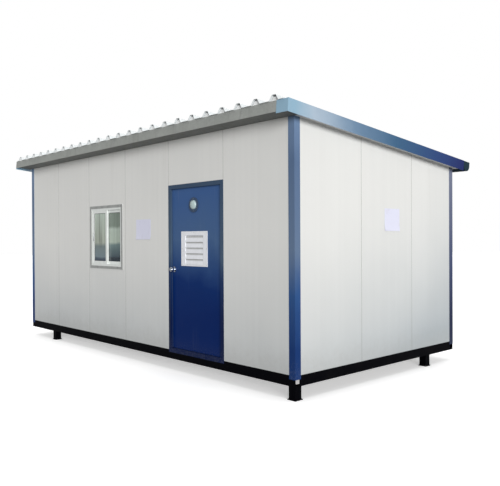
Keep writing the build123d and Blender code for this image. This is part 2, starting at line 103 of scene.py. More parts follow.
class Wire:
    """A node's output socket, on which a finish writes its maths as plain expressions."""

    def __init__(self, recipe: "Recipe", socket: bpy.types.NodeSocket) -> None:
        """Keeps the socket and the recipe that adds its Math nodes."""
        self.recipe = recipe
        self.socket = socket

    def _math(self, operation: str, first: Term, second: Term = 0.0) -> "Wire":
        """Adds one Math node.

        Args:
            operation: The Math node's operation.
            first: Its first value.
            second: Its second value, where it has one.

        Returns:
            The node's result.
        """
        return self.recipe.wire("ShaderNodeMath", {"operation": operation}, {0: first, 1: second})

    def __add__(self, other: Term) -> "Wire":
        """Sum."""
        return self._math("ADD", self, other)

    def __radd__(self, other: Term) -> "Wire":
        """Sum, reflected."""
        return self._math("ADD", other, self)

    def __sub__(self, other: Term) -> "Wire":
        """Difference."""
        return self._math("SUBTRACT", self, other)

    def __rsub__(self, other: Term) -> "Wire":
        """Difference, reflected."""
        return self._math("SUBTRACT", other, self)

    def __mul__(self, other: Term) -> "Wire":
        """Product."""
        return self._math("MULTIPLY", self, other)

    def __rmul__(self, other: Term) -> "Wire":
        """Product, reflected."""
        return self._math("MULTIPLY", other, self)

    def __truediv__(self, other: Term) -> "Wire":
        """Quotient."""
        return self._math("DIVIDE", self, other)

    def __pow__(self, other: Term) -> "Wire":
        """Power."""
        return self._math("POWER", self, other)

    def __abs__(self) -> "Wire":
        """Size without sign."""
        return self._math("ABSOLUTE", self)

    def floor(self) -> "Wire":
        """Whole number below."""
        return self._math("FLOOR", self)

    def fraction(self) -> "Wire":
        """What is left past the whole number below."""
        return self._math("FRACT", self)

    def at_least(self, other: Term) -> "Wire":
        """The larger of the two."""
        return self._math("MAXIMUM", self, other)

    def at_most(self, other: Term) -> "Wire":
        """The smaller of the two."""
        return self._math("MINIMUM", self, other)

    def clamped(self) -> "Wire":
        """The value kept between 0 and 1."""
        return self.at_least(0.0).at_most(1.0)


class Recipe:
    """Node tree of one finish, with short ways to the nodes that the finishes share."""

    def __init__(self, name: str) -> None:
        """Starts an empty material.

        Args:
            name: The material's name.
        """
        self.material = bpy.data.materials.new(name)
        self.material.use_nodes = True
        self.tree = self.material.node_tree
        self.tree.nodes.clear()
        self.place = self.wire("ShaderNodeTexCoord", output="Object")

    @classmethod
    def of_tree(cls, tree: bpy.types.NodeTree) -> "Recipe":
        """Recipe that writes into an existing tree, such as the world's.

        Args:
            tree: The tree, which is emptied.

        Returns:
            The recipe.
        """
        recipe = cls.__new__(cls)
        recipe.tree = tree
        tree.nodes.clear()
        return recipe

    def node(
        self,
        kind: str,
        settings: dict[str, Any] | None = None,
        inputs: dict[Any, Any] | None = None,
    ) -> bpy.types.Node:
        """Adds a node.

        Args:
            kind: The node's type.
            settings: Attributes to set first; "stops" are a ramp's positions and colours.
            inputs: Values or wires, by socket name or number.

        Returns:
            The new node.
        """
        made = self.tree.nodes.new(kind)
        for key, value in (settings or {}).items():
            if key == "stops":
                self._fill_ramp(made.color_ramp, value)
            else:
                setattr(made, key, value)
        for key, value in (inputs or {}).items():
            socket = made.inputs[key]
            if isinstance(value, Wire):
                self.tree.links.new(value.socket, socket)
            elif isinstance(value, tuple) and len(value) == 3 and len(socket.default_value) == 4:
                socket.default_value = (*value, 1.0)
            else:
                socket.default_value = value
        return made

    @staticmethod
    def _fill_ramp(ramp: bpy.types.ColorRamp, stops: Sequence[tuple[float, Any]]) -> None:
        """Writes a ramp's stops, each a position with a grey value or a colour."""
        while len(ramp.elements) < len(stops):
            ramp.elements.new(0.5)
        for element, (position, value) in zip(ramp.elements, stops):
            element.position = position
            element.color = (value, value, value, 1.0) if isinstance(value, (int, float)) else (*value, 1.0)

    def wire(
        self,
        kind: str,
        settings: dict[str, Any] | None = None,
        inputs: dict[Any, Any] | None = None,
        output: Any = 0,
    ) -> Wire:
        """Adds a node and returns one of its outputs.

        Args:
            kind: The node's type.
            settings: As in node().
            inputs: As in node().
            output: The output's name or number.

        Returns:
            The output as a wire.
        """
        return Wire(self, self.node(kind, settings, inputs).outputs[output])

    def axis(self, name: str) -> Wire:
        """One coordinate, X, Y or Z, of the place on the surface."""
        return self.wire("ShaderNodeSeparateXYZ", None, {0: self.place}, name)

    def facing(self, name: str) -> Wire:
        """One coordinate, X, Y or Z, of the direction that the surface faces."""
        normal = self.wire("ShaderNodeNewGeometry", output="Normal")
        return self.wire("ShaderNodeSeparateXYZ", None, {0: normal}, name)

    def noise(
        self,
        scale: float,
        detail: float = 4.0,
        roughness: float = 0.55,
        stretch: Point = (1.0, 1.0, 1.0),
        distortion: float = 0.0,
    ) -> Wire:
        """Cloudy noise.

        Args:
            scale: Features per metre.
            detail: Octaves.
            roughness: Weight of the finer octaves.
            stretch: Factor on each coordinate; a small one draws the noise out along it.
            distortion: How much the noise is warped.

        Returns:
            Noise from 0 to 1.
        """
        vector = self.wire("ShaderNodeVectorMath", {"operation": "MULTIPLY"}, {0: self.place, 1: stretch})
        return self.wire(
            "ShaderNodeTexNoise",
            None,
            {
                "Vector": vector,
                "Scale": scale,
                "Detail": detail,
                "Roughness": roughness,
                "Distortion": distortion,
            },
        )

    def cells(self, scale: float, output: str = "Distance", stretch: Point = (1.0, 1.0, 1.0)) -> Wire:
        """Cell pattern, by its distances or its colours."""
        vector = self.wire("ShaderNodeVectorMath", {"operation": "MULTIPLY"}, {0: self.place, 1: stretch})
        return self.wire("ShaderNodeTexVoronoi", None, {"Vector": vector, "Scale": scale}, output)

    def chance(self, value: Term) -> Wire:
        """A number from 0 to 1 that is the same wherever the value is the same."""
        return self.wire("ShaderNodeTexWhiteNoise", {"noise_dimensions": "1D"}, {"W": value})

    def rise(self, value: Term, low: float, high: float, start: float = 0.0, end: float = 1.0) -> Wire:
        """Smooth step.

        Args:
            value: What is measured.
            low: Where the step starts; it may be above high, for a fall.
            high: Where the step ends.
            start: Result before the step.
            end: Result after the step.

        Returns:
            The stepped value.
        """
        if low > high:
            low, high, start, end = high, low, end, start
        return self.wire(
            "ShaderNodeMapRange",
            {"interpolation_type": "SMOOTHSTEP"},
            {"Value": value, "From Min": low, "From Max": high, "To Min": start, "To Max": end},
        )

    def tint(self, factor: Term, first: Any, second: Any, mode: str = "MIX") -> Wire:
        """Mixes two colours.

        Args:
            factor: Share of the second colour.
            first: Colour or wire.
            second: Colour or wire.
            mode: How the second is laid on the first.

        Returns:
            The mixed colour.
        """
        return self.wire(
            "ShaderNodeMix",
            {"data_type": "RGBA", "blend_type": mode},
            {0: factor, 6: first, 7: second},
            2,
        )

    def grey(self, value: Wire) -> Wire:
        """A value as a grey colour, for the sockets that take colours."""
        return self.wire("ShaderNodeCombineColor", None, {0: value, 1: value, 2: value})

    def bump(self, height: Wire, distance: float, strength: float = 1.0, under: Wire | None = None) -> Wire:
        """Surface relief.

        Args:
            height: Relief from 0 to 1.
            distance: Real height of the relief in metres.
            strength: Share of it that shows.
            under: Coarser relief below this one.

        Returns:
            The bent normal.
        """
        inputs: dict[Any, Any] = {"Height": height, "Distance": distance, "Strength": strength}
        if under is not None:
            inputs["Normal"] = under
        return self.wire("ShaderNodeBump", None, inputs)

    def surface(
        self,
        colour: Any,
        roughness: Any,
        normal: Wire | None = None,
        **constants: Any,
    ) -> bpy.types.Node:
        """The shader that all solid finishes end in.

        Args:
            colour: Base colour or wire.
            roughness: Roughness or wire.
            normal: Bent normal, if any.
            constants: Other sockets, with underscores for spaces.

        Returns:
            The shader's node.
        """
        inputs: dict[Any, Any] = {"Base Color": colour, "Roughness": roughness}
        if normal is not None:
            inputs["Normal"] = normal
        for key, value in constants.items():
            inputs[key.replace("_", " ")] = value
        return self.node("ShaderNodeBsdfPrincipled", None, inputs)

    def close(self, shader: bpy.types.Node) -> bpy.types.Material:
        """Ends the tree in its output and returns the material."""
        output = self.node("ShaderNodeOutputMaterial")
        self.tree.links.new(shader.outputs[0], output.inputs["Surface"])
        return self.material


@dataclass(frozen=True)
class Finish:
    """A finish that can be built once and given to many pieces."""

    name: str

    def build(self) -> bpy.types.Material:
        """Builds the material."""
        raise NotImplementedError


@dataclass(frozen=True)
class PanelSkin(Finish):
    """Off-white coated steel skin with rolled lines, rain streaks, splashed dirt and grime in the seams,
    and painted shade that turns it blue-grey and darker towards the bottom and towards the rear.
    """

    colour: Colour = srgb(226, 226, 223)
    shade_colour: Colour = srgb(176, 183, 187)
    splash_colour: Colour = srgb(158, 154, 146)
    streak_colour: Colour = srgb(182, 181, 172)
    seam_colour: Colour = srgb(138, 138, 134)
    splash_low: float = 0.25
    splash_high: float = 0.62
    shade_low: float = -0.35
    shade_high: float = 1.75
    shade_lean: float = 0.28
    front_face: float = -1.525
    line_pitch: float = 0.05
    line_half_width: float = 0.004
    panel_width: float = 1.0

    def build(self) -> bpy.types.Material:
        """Builds the coated skin.

        Returns:
            The material.
        """
        r = Recipe(self.name)
        along = r.axis("X") + r.axis("Y")
        height = r.axis("Z")
        cloud = r.noise(0.7, detail=3.0)
        mottle = r.noise(14.0, detail=6.0, roughness=0.6)
        panel_tone = r.chance((along / self.panel_width).floor())
        strip_tone = r.chance((along / self.line_pitch).floor())
        streak = r.rise(r.noise(7.0, detail=5.0, stretch=(1.0, 1.0, 0.06)), 0.58, 0.80)
        streak = streak * r.rise(height, 1.4, 2.75, 0.1, 1.0)
        splash = r.rise(height + (mottle - 0.5) * 0.30, self.splash_high, self.splash_low) ** 1.8
        grains = r.rise(r.noise(120.0, detail=2.0), 0.56, 0.68)
        shade = 0.975 + (cloud - 0.5) * 0.07 + (panel_tone - 0.5) * 0.014 + (strip_tone - 0.5) * 0.016
        # Painted shade: the colour turns blue-grey and darker towards the bottom and further back along the
        # walls.
        shade_height = height - (r.axis("Y") - self.front_face) * self.shade_lean + (cloud - 0.5) * 0.5
        wall_shade = ((self.shade_high - shade_height) / (self.shade_high - self.shade_low)).clamped() ** 1.5
        colour = r.tint(wall_shade, self.colour, self.shade_colour)
        colour = r.tint(1.0, colour, r.grey(shade), "MULTIPLY")
        colour = r.tint(streak * 0.22, colour, self.streak_colour)
        colour = r.tint((splash * (0.30 + 0.4 * grains)).clamped() * 0.6, colour, self.splash_colour)
        seam = r.rise(abs(r.facing("X") * r.facing("Y")), 0.2, 0.4)
        colour = r.tint(seam * (0.7 + 0.3 * mottle), colour, self.seam_colour)
        roughness = (0.40 + (mottle - 0.5) * 0.12 + splash * 0.25 + streak * 0.1 + seam * 0.3).clamped()
        from_line = abs((along / self.line_pitch).fraction() - 0.5)
        line = r.rise(from_line, 0.0, self.line_half_width / self.line_pitch)
        waves = r.noise(2.2, detail=1.0, stretch=(1.0, 1.0, 0.35))
        normal = r.bump(waves, 0.003, 0.5)
        normal = r.bump(line, 0.0005, 0.6, normal)
        normal = r.bump(r.noise(420.0, detail=2.0), 0.0002, 0.35, normal)
        return r.close(r.surface(colour, roughness, normal, Specular_IOR_Level=0.3))


class RampAxis(Enum):
    """What a paint's colour ramp follows: height on upright pieces, distance from the front on the verges.
    """

    HEIGHT = "Z"
    DEPTH = "Y"


@dataclass(frozen=True)
class BluePaint(Finish):
    """Blue enamel over folded steel, its colour set by a ramp along one axis, with dust runs and scuffs."""

    stops: tuple[tuple[float, Colour], ...] = (
        (0.12, srgb(18, 52, 108)),
        (0.30, srgb(44, 80, 132)),
        (0.50, srgb(98, 118, 146)),
        (0.86, srgb(88, 110, 142)),
        (1.0, srgb(112, 136, 168)),
    )
    ramp_axis: RampAxis = RampAxis.HEIGHT
    low: float = 0.2
    high: float = 2.8
    dust_colour: Colour = srgb(150, 152, 150)
    chip_colour: Colour = srgb(96, 84, 76)
    gloss: float = 0.34
    specular: float = 0.2

    def build(self) -> bpy.types.Material:
        """Builds the enamel.

        Returns:
            The material.
        """
        r = Recipe(self.name)
        height = r.axis("Z")
        cloud = r.noise(1.8, detail=4.0)
        fine = r.noise(60.0, detail=5.0, roughness=0.65)
        runs = r.noise(22.0, detail=4.0, stretch=(1.0, 1.0, 0.05))
        share = (r.axis(self.ramp_axis.value) + (cloud - 0.5) * 0.5 - self.low) / (self.high - self.low)
        colour = r.wire("ShaderNodeValToRGB", {"stops": self.stops}, {"Fac": share.clamped()})
        colour = r.tint(r.rise(runs, 0.58, 0.85) * 0.10, colour, self.dust_colour)
        dust = r.rise(height + (fine - 0.5) * 0.2, 0.5, 0.2) * r.rise(fine, 0.45, 0.65)
        colour = r.tint(dust * 0.12, colour, self.dust_colour)
        chips = r.rise(r.noise(38.0, detail=3.0, roughness=0.7), 0.745, 0.765)
        colour = r.tint(chips * 0.6, colour, self.chip_colour)
        roughness = (self.gloss + (fine - 0.5) * 0.14 + dust * 0.2 + chips * 0.3).clamped()
        normal = r.bump(r.noise(7.0, detail=2.0), 0.0015, 0.4)
        normal = r.bump(r.noise(350.0, detail=2.0), 0.0002, 0.4, normal)
        return r.close(r.surface(colour, roughness, normal, Specular_IOR_Level=self.specular))


@dataclass(frozen=True)
class DarkPaint(Finish):
    """Dark paint over steel, with road dust and rust starting at the edges."""

    colour: Colour = srgb(4, 4, 8)
    dust_colour: Colour = srgb(58, 55, 52)
    rust_colour: Colour = srgb(60, 34, 22)
    dust_share: float = 0.07
    specular: float = 0.05

    def build(self) -> bpy.types.Material:
        """Builds the dark paint.

        Returns:
            The material.
        """
        r = Recipe(self.name)
        fine = r.noise(55.0, detail=6.0, roughness=0.7)
        cloud = r.noise(3.0, detail=4.0)
        dust = r.rise(cloud + (fine - 0.5) * 0.4, 0.5, 0.8) + r.facing("Z").at_least(0.0) * 0.5
        rust = r.rise(r.noise(18.0, detail=6.0, roughness=0.75), 0.66, 0.74)
        colour = r.tint((dust * self.dust_share).clamped(), self.colour, self.dust_colour)
        colour = r.tint(rust * 0.4, colour, self.rust_colour)
        roughness = (0.50 + (fine - 0.5) * 0.2 + rust * 0.3 + dust * 0.1).clamped()
        normal = r.bump(fine, 0.0008, 0.4)
        normal = r.bump(rust, 0.0006, 0.5, normal)
        return r.close(r.surface(colour, roughness, normal, Specular_IOR_Level=self.specular))


@dataclass(frozen=True)
class ZincSheet(Finish):
    """Galvanised sheet with crystals in the zinc, dull stains and drip marks, and painted shade on the
    faces that look down.
    """

    colour: Colour = srgb(158, 161, 157)
    stain_colour: Colour = srgb(104, 104, 100)
    metal: float = 0.1
    painted_shade: float = 0.5
    crystal_scale: float = 55.0

    def build(self) -> bpy.types.Material:
        """Builds the zinc.

        Returns:
            The material.
        """
        r = Recipe(self.name)
        crystals = r.wire("ShaderNodeSeparateColor", None, {0: r.cells(self.crystal_scale, "Color")})
        cloud = r.noise(2.5, detail=5.0)
        drips = r.rise(r.noise(18.0, detail=4.0, stretch=(1.0, 1.0, 0.12)), 0.5, 0.8)
        # Painted shade on faces that look down, such as the eave trim's underside.
        under = r.rise(r.facing("Z"), -0.3, -0.9)
        shade = (0.90 + crystals * 0.12 + (cloud - 0.5) * 0.30) * (1.0 - under * self.painted_shade)
        colour = r.tint(1.0, self.colour, r.grey(shade), "MULTIPLY")
        colour = r.tint(drips * 0.25, colour, self.stain_colour)
        roughness = (0.46 + crystals * 0.14 + drips * 0.18).clamped()
        normal = r.bump(r.noise(10.0, detail=2.0), 0.001, 0.4)
        normal = r.bump(crystals, 0.0001, 0.4, normal)
        return r.close(r.surface(colour, roughness, normal, Metallic=self.metal, Specular_IOR_Level=0.25))


@dataclass(frozen=True)
class RoofSkin(Finish):
    """Pale coated roofing steel, with dust lying in the pans and dull patches."""

    colour: Colour = srgb(216, 220, 221)
    dust_colour: Colour = srgb(152, 149, 140)

    def build(self) -> bpy.types.Material:
        """Builds the roofing skin.

        Returns:
            The material.
        """
        r = Recipe(self.name)
        cloud = r.noise(1.4, detail=5.0, stretch=(1.0, 0.3, 1.0))
        fine = r.noise(45.0, detail=6.0, roughness=0.65)
        run = r.rise(r.noise(16.0, detail=5.0, stretch=(1.0, 0.05, 1.0)), 0.48, 0.75)
        flat = r.rise(r.facing("Z"), 0.9, 0.99)
        dirt = (flat * (0.25 + run * 0.6) + run * 0.25 + (cloud - 0.5) * 0.5).clamped()
        colour = r.tint(dirt * 0.45, self.colour, self.dust_colour)
        roughness = (0.38 + (fine - 0.5) * 0.16 + dirt * 0.3).clamped()
        normal = r.bump(r.noise(4.0, detail=2.0, stretch=(1.0, 0.4, 1.0)), 0.002, 0.4)
        normal = r.bump(fine, 0.0003, 0.3, normal)
        return r.close(r.surface(colour, roughness, normal, Specular_IOR_Level=0.35))


@dataclass(frozen=True)
class WhiteEnamel(Finish):
    """White enamel, moulded plastic or foam with grime in its hollows."""

    colour: Colour = srgb(232, 235, 240)
    grime_colour: Colour = srgb(140, 140, 132)
    gloss: float = 0.3
    grime: float = 0.35
    grain: float = 0.0001

    def painted_shade(self, r: Recipe) -> Term:
        """Painted shade that a shape of its own adds: none on plain enamel."""
        return 0.0

    def build(self) -> bpy.types.Material:
        """Builds the enamel.

        Returns:
            The material.
        """
        r = Recipe(self.name)
        cloud = r.noise(8.0, detail=4.0)
        fine = r.noise(140.0, detail=4.0)
        runs = r.rise(r.noise(70.0, detail=4.0, stretch=(1.0, 1.0, 0.08)), 0.5, 0.72)
        # Grime from the noise, plus any painted shade that the shape adds.
        grime = (runs * 0.6 + r.rise(cloud, 0.5, 0.8) * 0.6).clamped() * self.grime + self.painted_shade(r)
        colour = r.tint(grime, self.colour, self.grime_colour)
        roughness = (self.gloss + (fine - 0.5) * 0.1 + grime * 0.4).clamped()
        normal = r.bump(r.noise(300.0, detail=2.0), self.grain, 0.4)
        return r.close(r.surface(colour, roughness, normal))


@dataclass(frozen=True)
class LouvreEnamel(WhiteEnamel):
    """White enamel with painted shade in a band under the lip of each blade above."""

    lowest_blade: float = 1.304
    blade_pitch: float = 0.06775
    shade_share: float = 0.7

    def painted_shade(self, r: Recipe) -> Term:
        """Painted shade in a band along the top of each blade, under the lip of the blade above.

        Args:
            r: The recipe that it joins.

        Returns:
            Its share, from 0 on the plate to shade_share under a lip.
        """
        # Painted shade under each blade's lip.
        share = ((r.axis("Z") - self.lowest_blade) / self.blade_pitch).fraction()
        return r.rise(share, 0.58, 0.96) * r.rise(r.facing("Z"), 0.10, 0.16) * self.shade_share


@dataclass(frozen=True)
class BrushedMetal(Finish):
    """Bare metal with fine scratches, from dull aluminium to polished plating."""

    colour: Colour = srgb(150, 151, 152)
    smoothness: float = 0.3
    metal: float = 1.0
    stretch: Point = (1.0, 1.0, 0.05)

    def build(self) -> bpy.types.Material:
        """Builds the metal.

        Returns:
            The material.
        """
        r = Recipe(self.name)
        brush = r.noise(260.0, detail=4.0, stretch=self.stretch)
        cloud = r.noise(12.0, detail=4.0)
        colour = r.tint(1.0, self.colour, r.grey(0.86 + brush * 0.2 + (cloud - 0.5) * 0.2), "MULTIPLY")
        roughness = (self.smoothness + (brush - 0.5) * 0.2 + (cloud - 0.5) * 0.2).clamped()
        normal = r.bump(brush, 0.0001, 0.3)
        return r.close(r.surface(colour, roughness, normal, Metallic=self.metal))


@dataclass(frozen=True)
class WindowPane(Finish):
    """Glass under an opaque layer of painted reflection, pale above and slate below, with the shaded folds
    of a curtain painted into its upper part.
    """

    stops: tuple[tuple[float, Colour], ...] = ((0.0, srgb(80, 90, 100)), (1.0, srgb(170, 180, 170)))
    fold_share: float = 0.5
    fold_scale: float = 16.0
    painted_reflection: float = 0.86
    low: float = 1.3
    high: float = 2.0

    def build(self) -> bpy.types.Material:
        """Builds the glass.

        Returns:
            The material.
        """
        r = Recipe(self.name)
        warp = r.noise(6.0, detail=3.0, stretch=(1.0, 1.0, 0.5))
        folds = r.rise(r.noise(self.fold_scale, detail=1.0, stretch=(1.0, 1.0, 0.03)), 0.38, 0.62)
        smear = r.noise(30.0, detail=4.0, stretch=(1.0, 1.0, 0.3))
        height = (r.axis("Z") + (warp - 0.5) * 0.05 - self.low) / (self.high - self.low)
        # Painted reflection: colours by height, pale above and dark at the foot.
        colour = r.wire("ShaderNodeValToRGB", {"stops": self.stops}, {"Fac": height.clamped()})
        upper = r.rise(height, 0.2, 0.45)
        # Painted shade of curtain folds: darker vertical stripes in the upper part.
        colour = r.tint(1.0, colour, r.grey(1.0 - (1.0 - folds) * upper * self.fold_share), "MULTIPLY")
        painted_reflection = r.surface(colour, (0.05 + smear * 0.08).clamped(), Specular_IOR_Level=0.5)
        through = r.node("ShaderNodeBsdfTransparent", None, {"Color": srgb(190, 205, 196)})
        mix = r.node("ShaderNodeMixShader", None, {0: (self.painted_reflection + (smear - 0.5) * 0.12).clamped()})
        r.tree.links.new(through.outputs[0], mix.inputs[1])
        r.tree.links.new(painted_reflection.outputs[0], mix.inputs[2])
        return r.close(mix)


@dataclass(frozen=True)
class FrostedLens(Finish):
    """Pale domed lens of the round port, clouded by age."""

    colour: Colour = srgb(178, 196, 196)
    cloud_colour: Colour = srgb(140, 158, 148)

    def build(self) -> bpy.types.Material:
        """Builds the lens.

        Returns:
            The material.
        """
        r = Recipe(self.name)
        cloud = r.noise(40.0, detail=4.0)
        rays = r.noise(120.0, detail=3.0)
        colour = r.tint(r.rise(cloud, 0.4, 0.7) * 0.35, self.colour, self.cloud_colour)
        roughness = (0.22 + rays * 0.15).clamped()
        normal = r.bump(cloud, 0.0006, 0.3)
        return r.close(r.surface(colour, roughness, normal, Coat_Weight=0.3))


@dataclass(frozen=True)
class DeckBoard(Finish):
    """Floor board with a worn vinyl face and scuffs."""

    colour: Colour = srgb(128, 112, 92)
    dark_colour: Colour = srgb(104, 88, 70)
    scuff_colour: Colour = srgb(168, 160, 148)

    def build(self) -> bpy.types.Material:
        """Builds the board.

        Returns:
            The material.
        """
        r = Recipe(self.name)
        grain = r.noise(6.0, detail=8.0, stretch=(0.15, 2.0, 1.0), distortion=0.6)
        scuff = r.rise(r.noise(24.0, detail=6.0, roughness=0.7), 0.6, 0.75)
        colour = r.tint(grain, self.dark_colour, self.colour)
        colour = r.tint(scuff * 0.3, colour, self.scuff_colour)
        roughness = (0.5 + grain * 0.2 + scuff * 0.1).clamped()
        return r.close(r.surface(colour, roughness, r.bump(grain, 0.0004, 0.5)))


@dataclass(frozen=True)
class PlainRubber(Finish):
    """Rubber or sealant, with a dusty bloom."""

    colour: Colour = srgb(34, 36, 38)
    bloom_colour: Colour = srgb(96, 98, 98)

    def build(self) -> bpy.types.Material:
        """Builds the rubber.

        Returns:
            The material.
        """
        r = Recipe(self.name)
        bloom = r.noise(90.0, detail=4.0)
        colour = r.tint(r.rise(bloom, 0.45, 0.75) * 0.25, self.colour, self.bloom_colour)
        return r.close(r.surface(colour, (0.6 + bloom * 0.2).clamped(), r.bump(bloom, 0.0002, 0.4)))


@dataclass(frozen=True)
class BarePaper(Finish):
    """Bare paper sheet with fibres and a faint stain."""

    colour: Colour = srgb(218, 219, 236)
    stain_colour: Colour = srgb(186, 186, 196)

    def build(self) -> bpy.types.Material:
        """Builds the paper.

        Returns:
            The material.
        """
        r = Recipe(self.name)
        stain = r.noise(12.0, detail=4.0)
        fibre = r.noise(500.0, detail=3.0)
        colour = r.tint(r.rise(stain, 0.5, 0.8) * 0.3, self.colour, self.stain_colour)
        return r.close(r.surface(colour, (0.7 + fibre * 0.15).clamped(), r.bump(fibre, 0.0001, 0.3)))


class Mesh:
    """A mesh under construction, in the part's own frame."""

    def __init__(self, name: str) -> None:
        """Starts an empty mesh.

        Args:
            name: Name of the piece that it becomes.
        """
        self.name = name
        self.bm = bmesh.new()

    def block(self, size: Point, place: Matrix, rounding: float = 0.0) -> None:
        """Adds a box with rounded edges.

        Args:
            size: Its lengths along its own axes.
            place: From its middle's own frame to the part's frame.
            rounding: Radius of its edges.
        """
        made = bmesh.ops.create_cube(self.bm, size=1.0, matrix=Matrix.Diagonal((*size, 1.0)))
        faces = {face for vertex in made["verts"] for face in vertex.link_faces}
        if rounding:
            edges = list({edge for face in faces for edge in face.edges})
            bevelled = bmesh.ops.bevel(
                self.bm, geom=edges, offset=rounding, segments=2, affect="EDGES", profile=0.7
            )
            faces = {face for face in faces if face.is_valid} | set(bevelled["faces"])
        vertices = list({vertex for face in faces for vertex in face.verts})
        bmesh.ops.transform(self.bm, matrix=place, verts=vertices)

    def prism(self, outline: Sequence[tuple[float, float]], depth: float, place: Matrix) -> None:
        """Adds a straight prism.

        Args:
            outline: Corners of its end face, anticlockwise, in the frame's X and Y.
            depth: Length along the frame's Z.
            place: From the outline's own frame to the part's frame.
        """
        near = [self.bm.verts.new(place @ Vector((x, y, 0.0))) for x, y in outline]
        far = [self.bm.verts.new(place @ Vector((x, y, depth))) for x, y in outline]
        self.bm.faces.new(near)
        self.bm.faces.new(far)
        for index in range(len(outline)):
            after = (index + 1) % len(outline)
            self.bm.faces.new((near[index], near[after], far[after], far[index]))

    def lathe(self, profile: Sequence[tuple[float, float]], place: Matrix, steps: int = 24) -> None:
        """Adds a turned form.

        Args:
            profile: Radius and height of each point, from one end to the other.
            place: From the form's own frame, with its axis along Z, to the part's frame.
            steps: Segments around.
        """
        rings = []
        for radius, height in profile:
            if radius == 0:
                rings.append([self.bm.verts.new(place @ Vector((0.0, 0.0, height)))])
                continue
            angles = [math.tau * step / steps for step in range(steps)]
            points = [(radius * math.cos(angle), radius * math.sin(angle), height) for angle in angles]
            rings.append([self.bm.verts.new(place @ Vector(point)) for point in points])
        for lower, upper in zip(rings, rings[1:]):
            for step in range(steps):
                after = (step + 1) % steps
                corners = [lower[step % len(lower)], lower[after % len(lower)]]
                corners += [upper[after % len(upper)], upper[step % len(upper)]]
                unique = list(dict.fromkeys(corners))
                if len(unique) > 2:
                    self.bm.faces.new(unique)

    def done(self, finish: bpy.types.Material, body: str, smooth: bool = True) -> bpy.types.Object:
        """Turns the mesh into a piece of the cabin.

        Args:
            finish: Its material.
            body: The body that it rides on.
            smooth: Whether its faces shade smoothly.

        Returns:
            The new object.
        """
        bmesh.ops.recalc_face_normals(self.bm, faces=self.bm.faces)
        data = bpy.data.meshes.new(self.name)
        self.bm.to_mesh(data)
        self.bm.free()
        piece = bpy.data.objects.new(self.name, data)
        bpy.context.collection.objects.link(piece)
        data.materials.append(finish)
        if smooth:
            data.shade_smooth()
            data.set_sharp_from_angle(angle=math.radians(SHARP_DEGREES))
        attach(piece, body)
        LOG.info("%s: %d faces on %s", self.name, len(data.polygons), body)
        return piece


class Side(Enum):
    """Where an outer wall faces."""

    FRONT = (0.0, -1.0, 0.0)
    RIGHT = (1.0, 0.0, 0.0)
    REAR = (0.0, 1.0, 0.0)
    LEFT = (-1.0, 0.0, 0.0)

    @property
    def out(self) -> Vector:
        """Direction that the wall faces."""
        return Vector(self.value)


def on_face(place: Point | Vector, facing: Vector) -> Matrix:
    """Frame that stands on a face.

    Args:
        place: Its origin.
        facing: Where its Z axis points.

    Returns:
        The frame's matrix.
    """
    return Matrix.Translation(place) @ facing.to_track_quat("Z", "Y").to_matrix().to_4x4()


def evenly(low: float, high: float, pitch: float, margin: float) -> list[float]:
    """Places spread evenly between two ends.

    Args:
        low: One end.
        high: The other end.
        pitch: About how far they lie apart.
        margin: Distance that the first and last keep from the ends.

    Returns:
        The places.
    """
    first, last = low + margin, high - margin
    count = max(1, round((last - first) / pitch))
    return [first + (last - first) * index / count for index in range(count + 1)]


@dataclass(frozen=True)
class Fastener:
    """Small fastener: a domed rivet, or a hexagonal screw on a washer."""

    radius: float = 0.005
    height: float = 0.0025
    sides: int = 10
    washer_sides: int = 12
    washer_share: float = 1.7
    washer_top_share: float = 1.4
    washer_rim: float = 0.0008
    washer_thickness: float = 0.0020
    washer_sink: float = 0.0005
    dome_sink: float = 0.0003
    is_hexagonal: bool = False

    def add(self, mesh: Mesh, place: Point | Vector, facing: Vector) -> None:
        """Adds it to a mesh.

        Args:
            mesh: The mesh.
            place: Its foot, on its face.
            facing: The face's direction.
        """
        frame = on_face(place, facing)
        radius, height = self.radius, self.height
        if self.is_hexagonal:
            outer, thickness = radius * self.washer_share, self.washer_thickness
            washer = (
                (outer, -self.washer_sink),
                (outer, self.washer_rim),
                (radius * self.washer_top_share, thickness),
                (radius, thickness),
                (0, thickness),
            )
            head = ((radius, thickness), (radius, height * 0.85), (radius * 0.8, height), (0, height))
            mesh.lathe(washer, frame, self.washer_sides)
            mesh.lathe(head, frame, 6)
            return
        dome = (
            (radius, -self.dome_sink),
            (radius, height * 0.3),
            (radius * 0.8, height * 0.75),
            (radius * 0.4, height),
            (0, height),
        )
        mesh.lathe(dome, frame, self.sides)


@dataclass
class Finishes:
    """All finishes of the cabin, built once."""

    made: dict[str, bpy.types.Material] = field(default_factory=dict)

    def get(self, finish: Finish) -> bpy.types.Material:
        """Material of a finish, built at its first use.

        Args:
            finish: The finish.

        Returns:
            Its material.
        """
        if finish.name not in self.made:
            self.made[finish.name] = finish.build()
        return self.made[finish.name]


@dataclass
class Dresser:
    """Gives finishes to the CAD nodes."""

    nodes: dict[str, bpy.types.Object]
    finishes: Finishes

    def dress(self, names: Iterable[str], finish: Finish) -> None:
        """Puts one finish on several nodes.

        Args:
            names: The nodes.
            finish: Their finish.
        """
        material = self.finishes.get(finish)
        for name in names:
            data = self.nodes[name].data
            data.materials.clear()
            data.materials.append(material)
            LOG.info("%s: %s", name, finish.name)

    def starting(self, *starts: str) -> list[str]:
        """Names of the nodes that start with one of some words.

        Args:
            starts: The words.

        Returns:
            The nodes' names.
        """
        return [name for name in self.nodes if name.startswith(starts)]


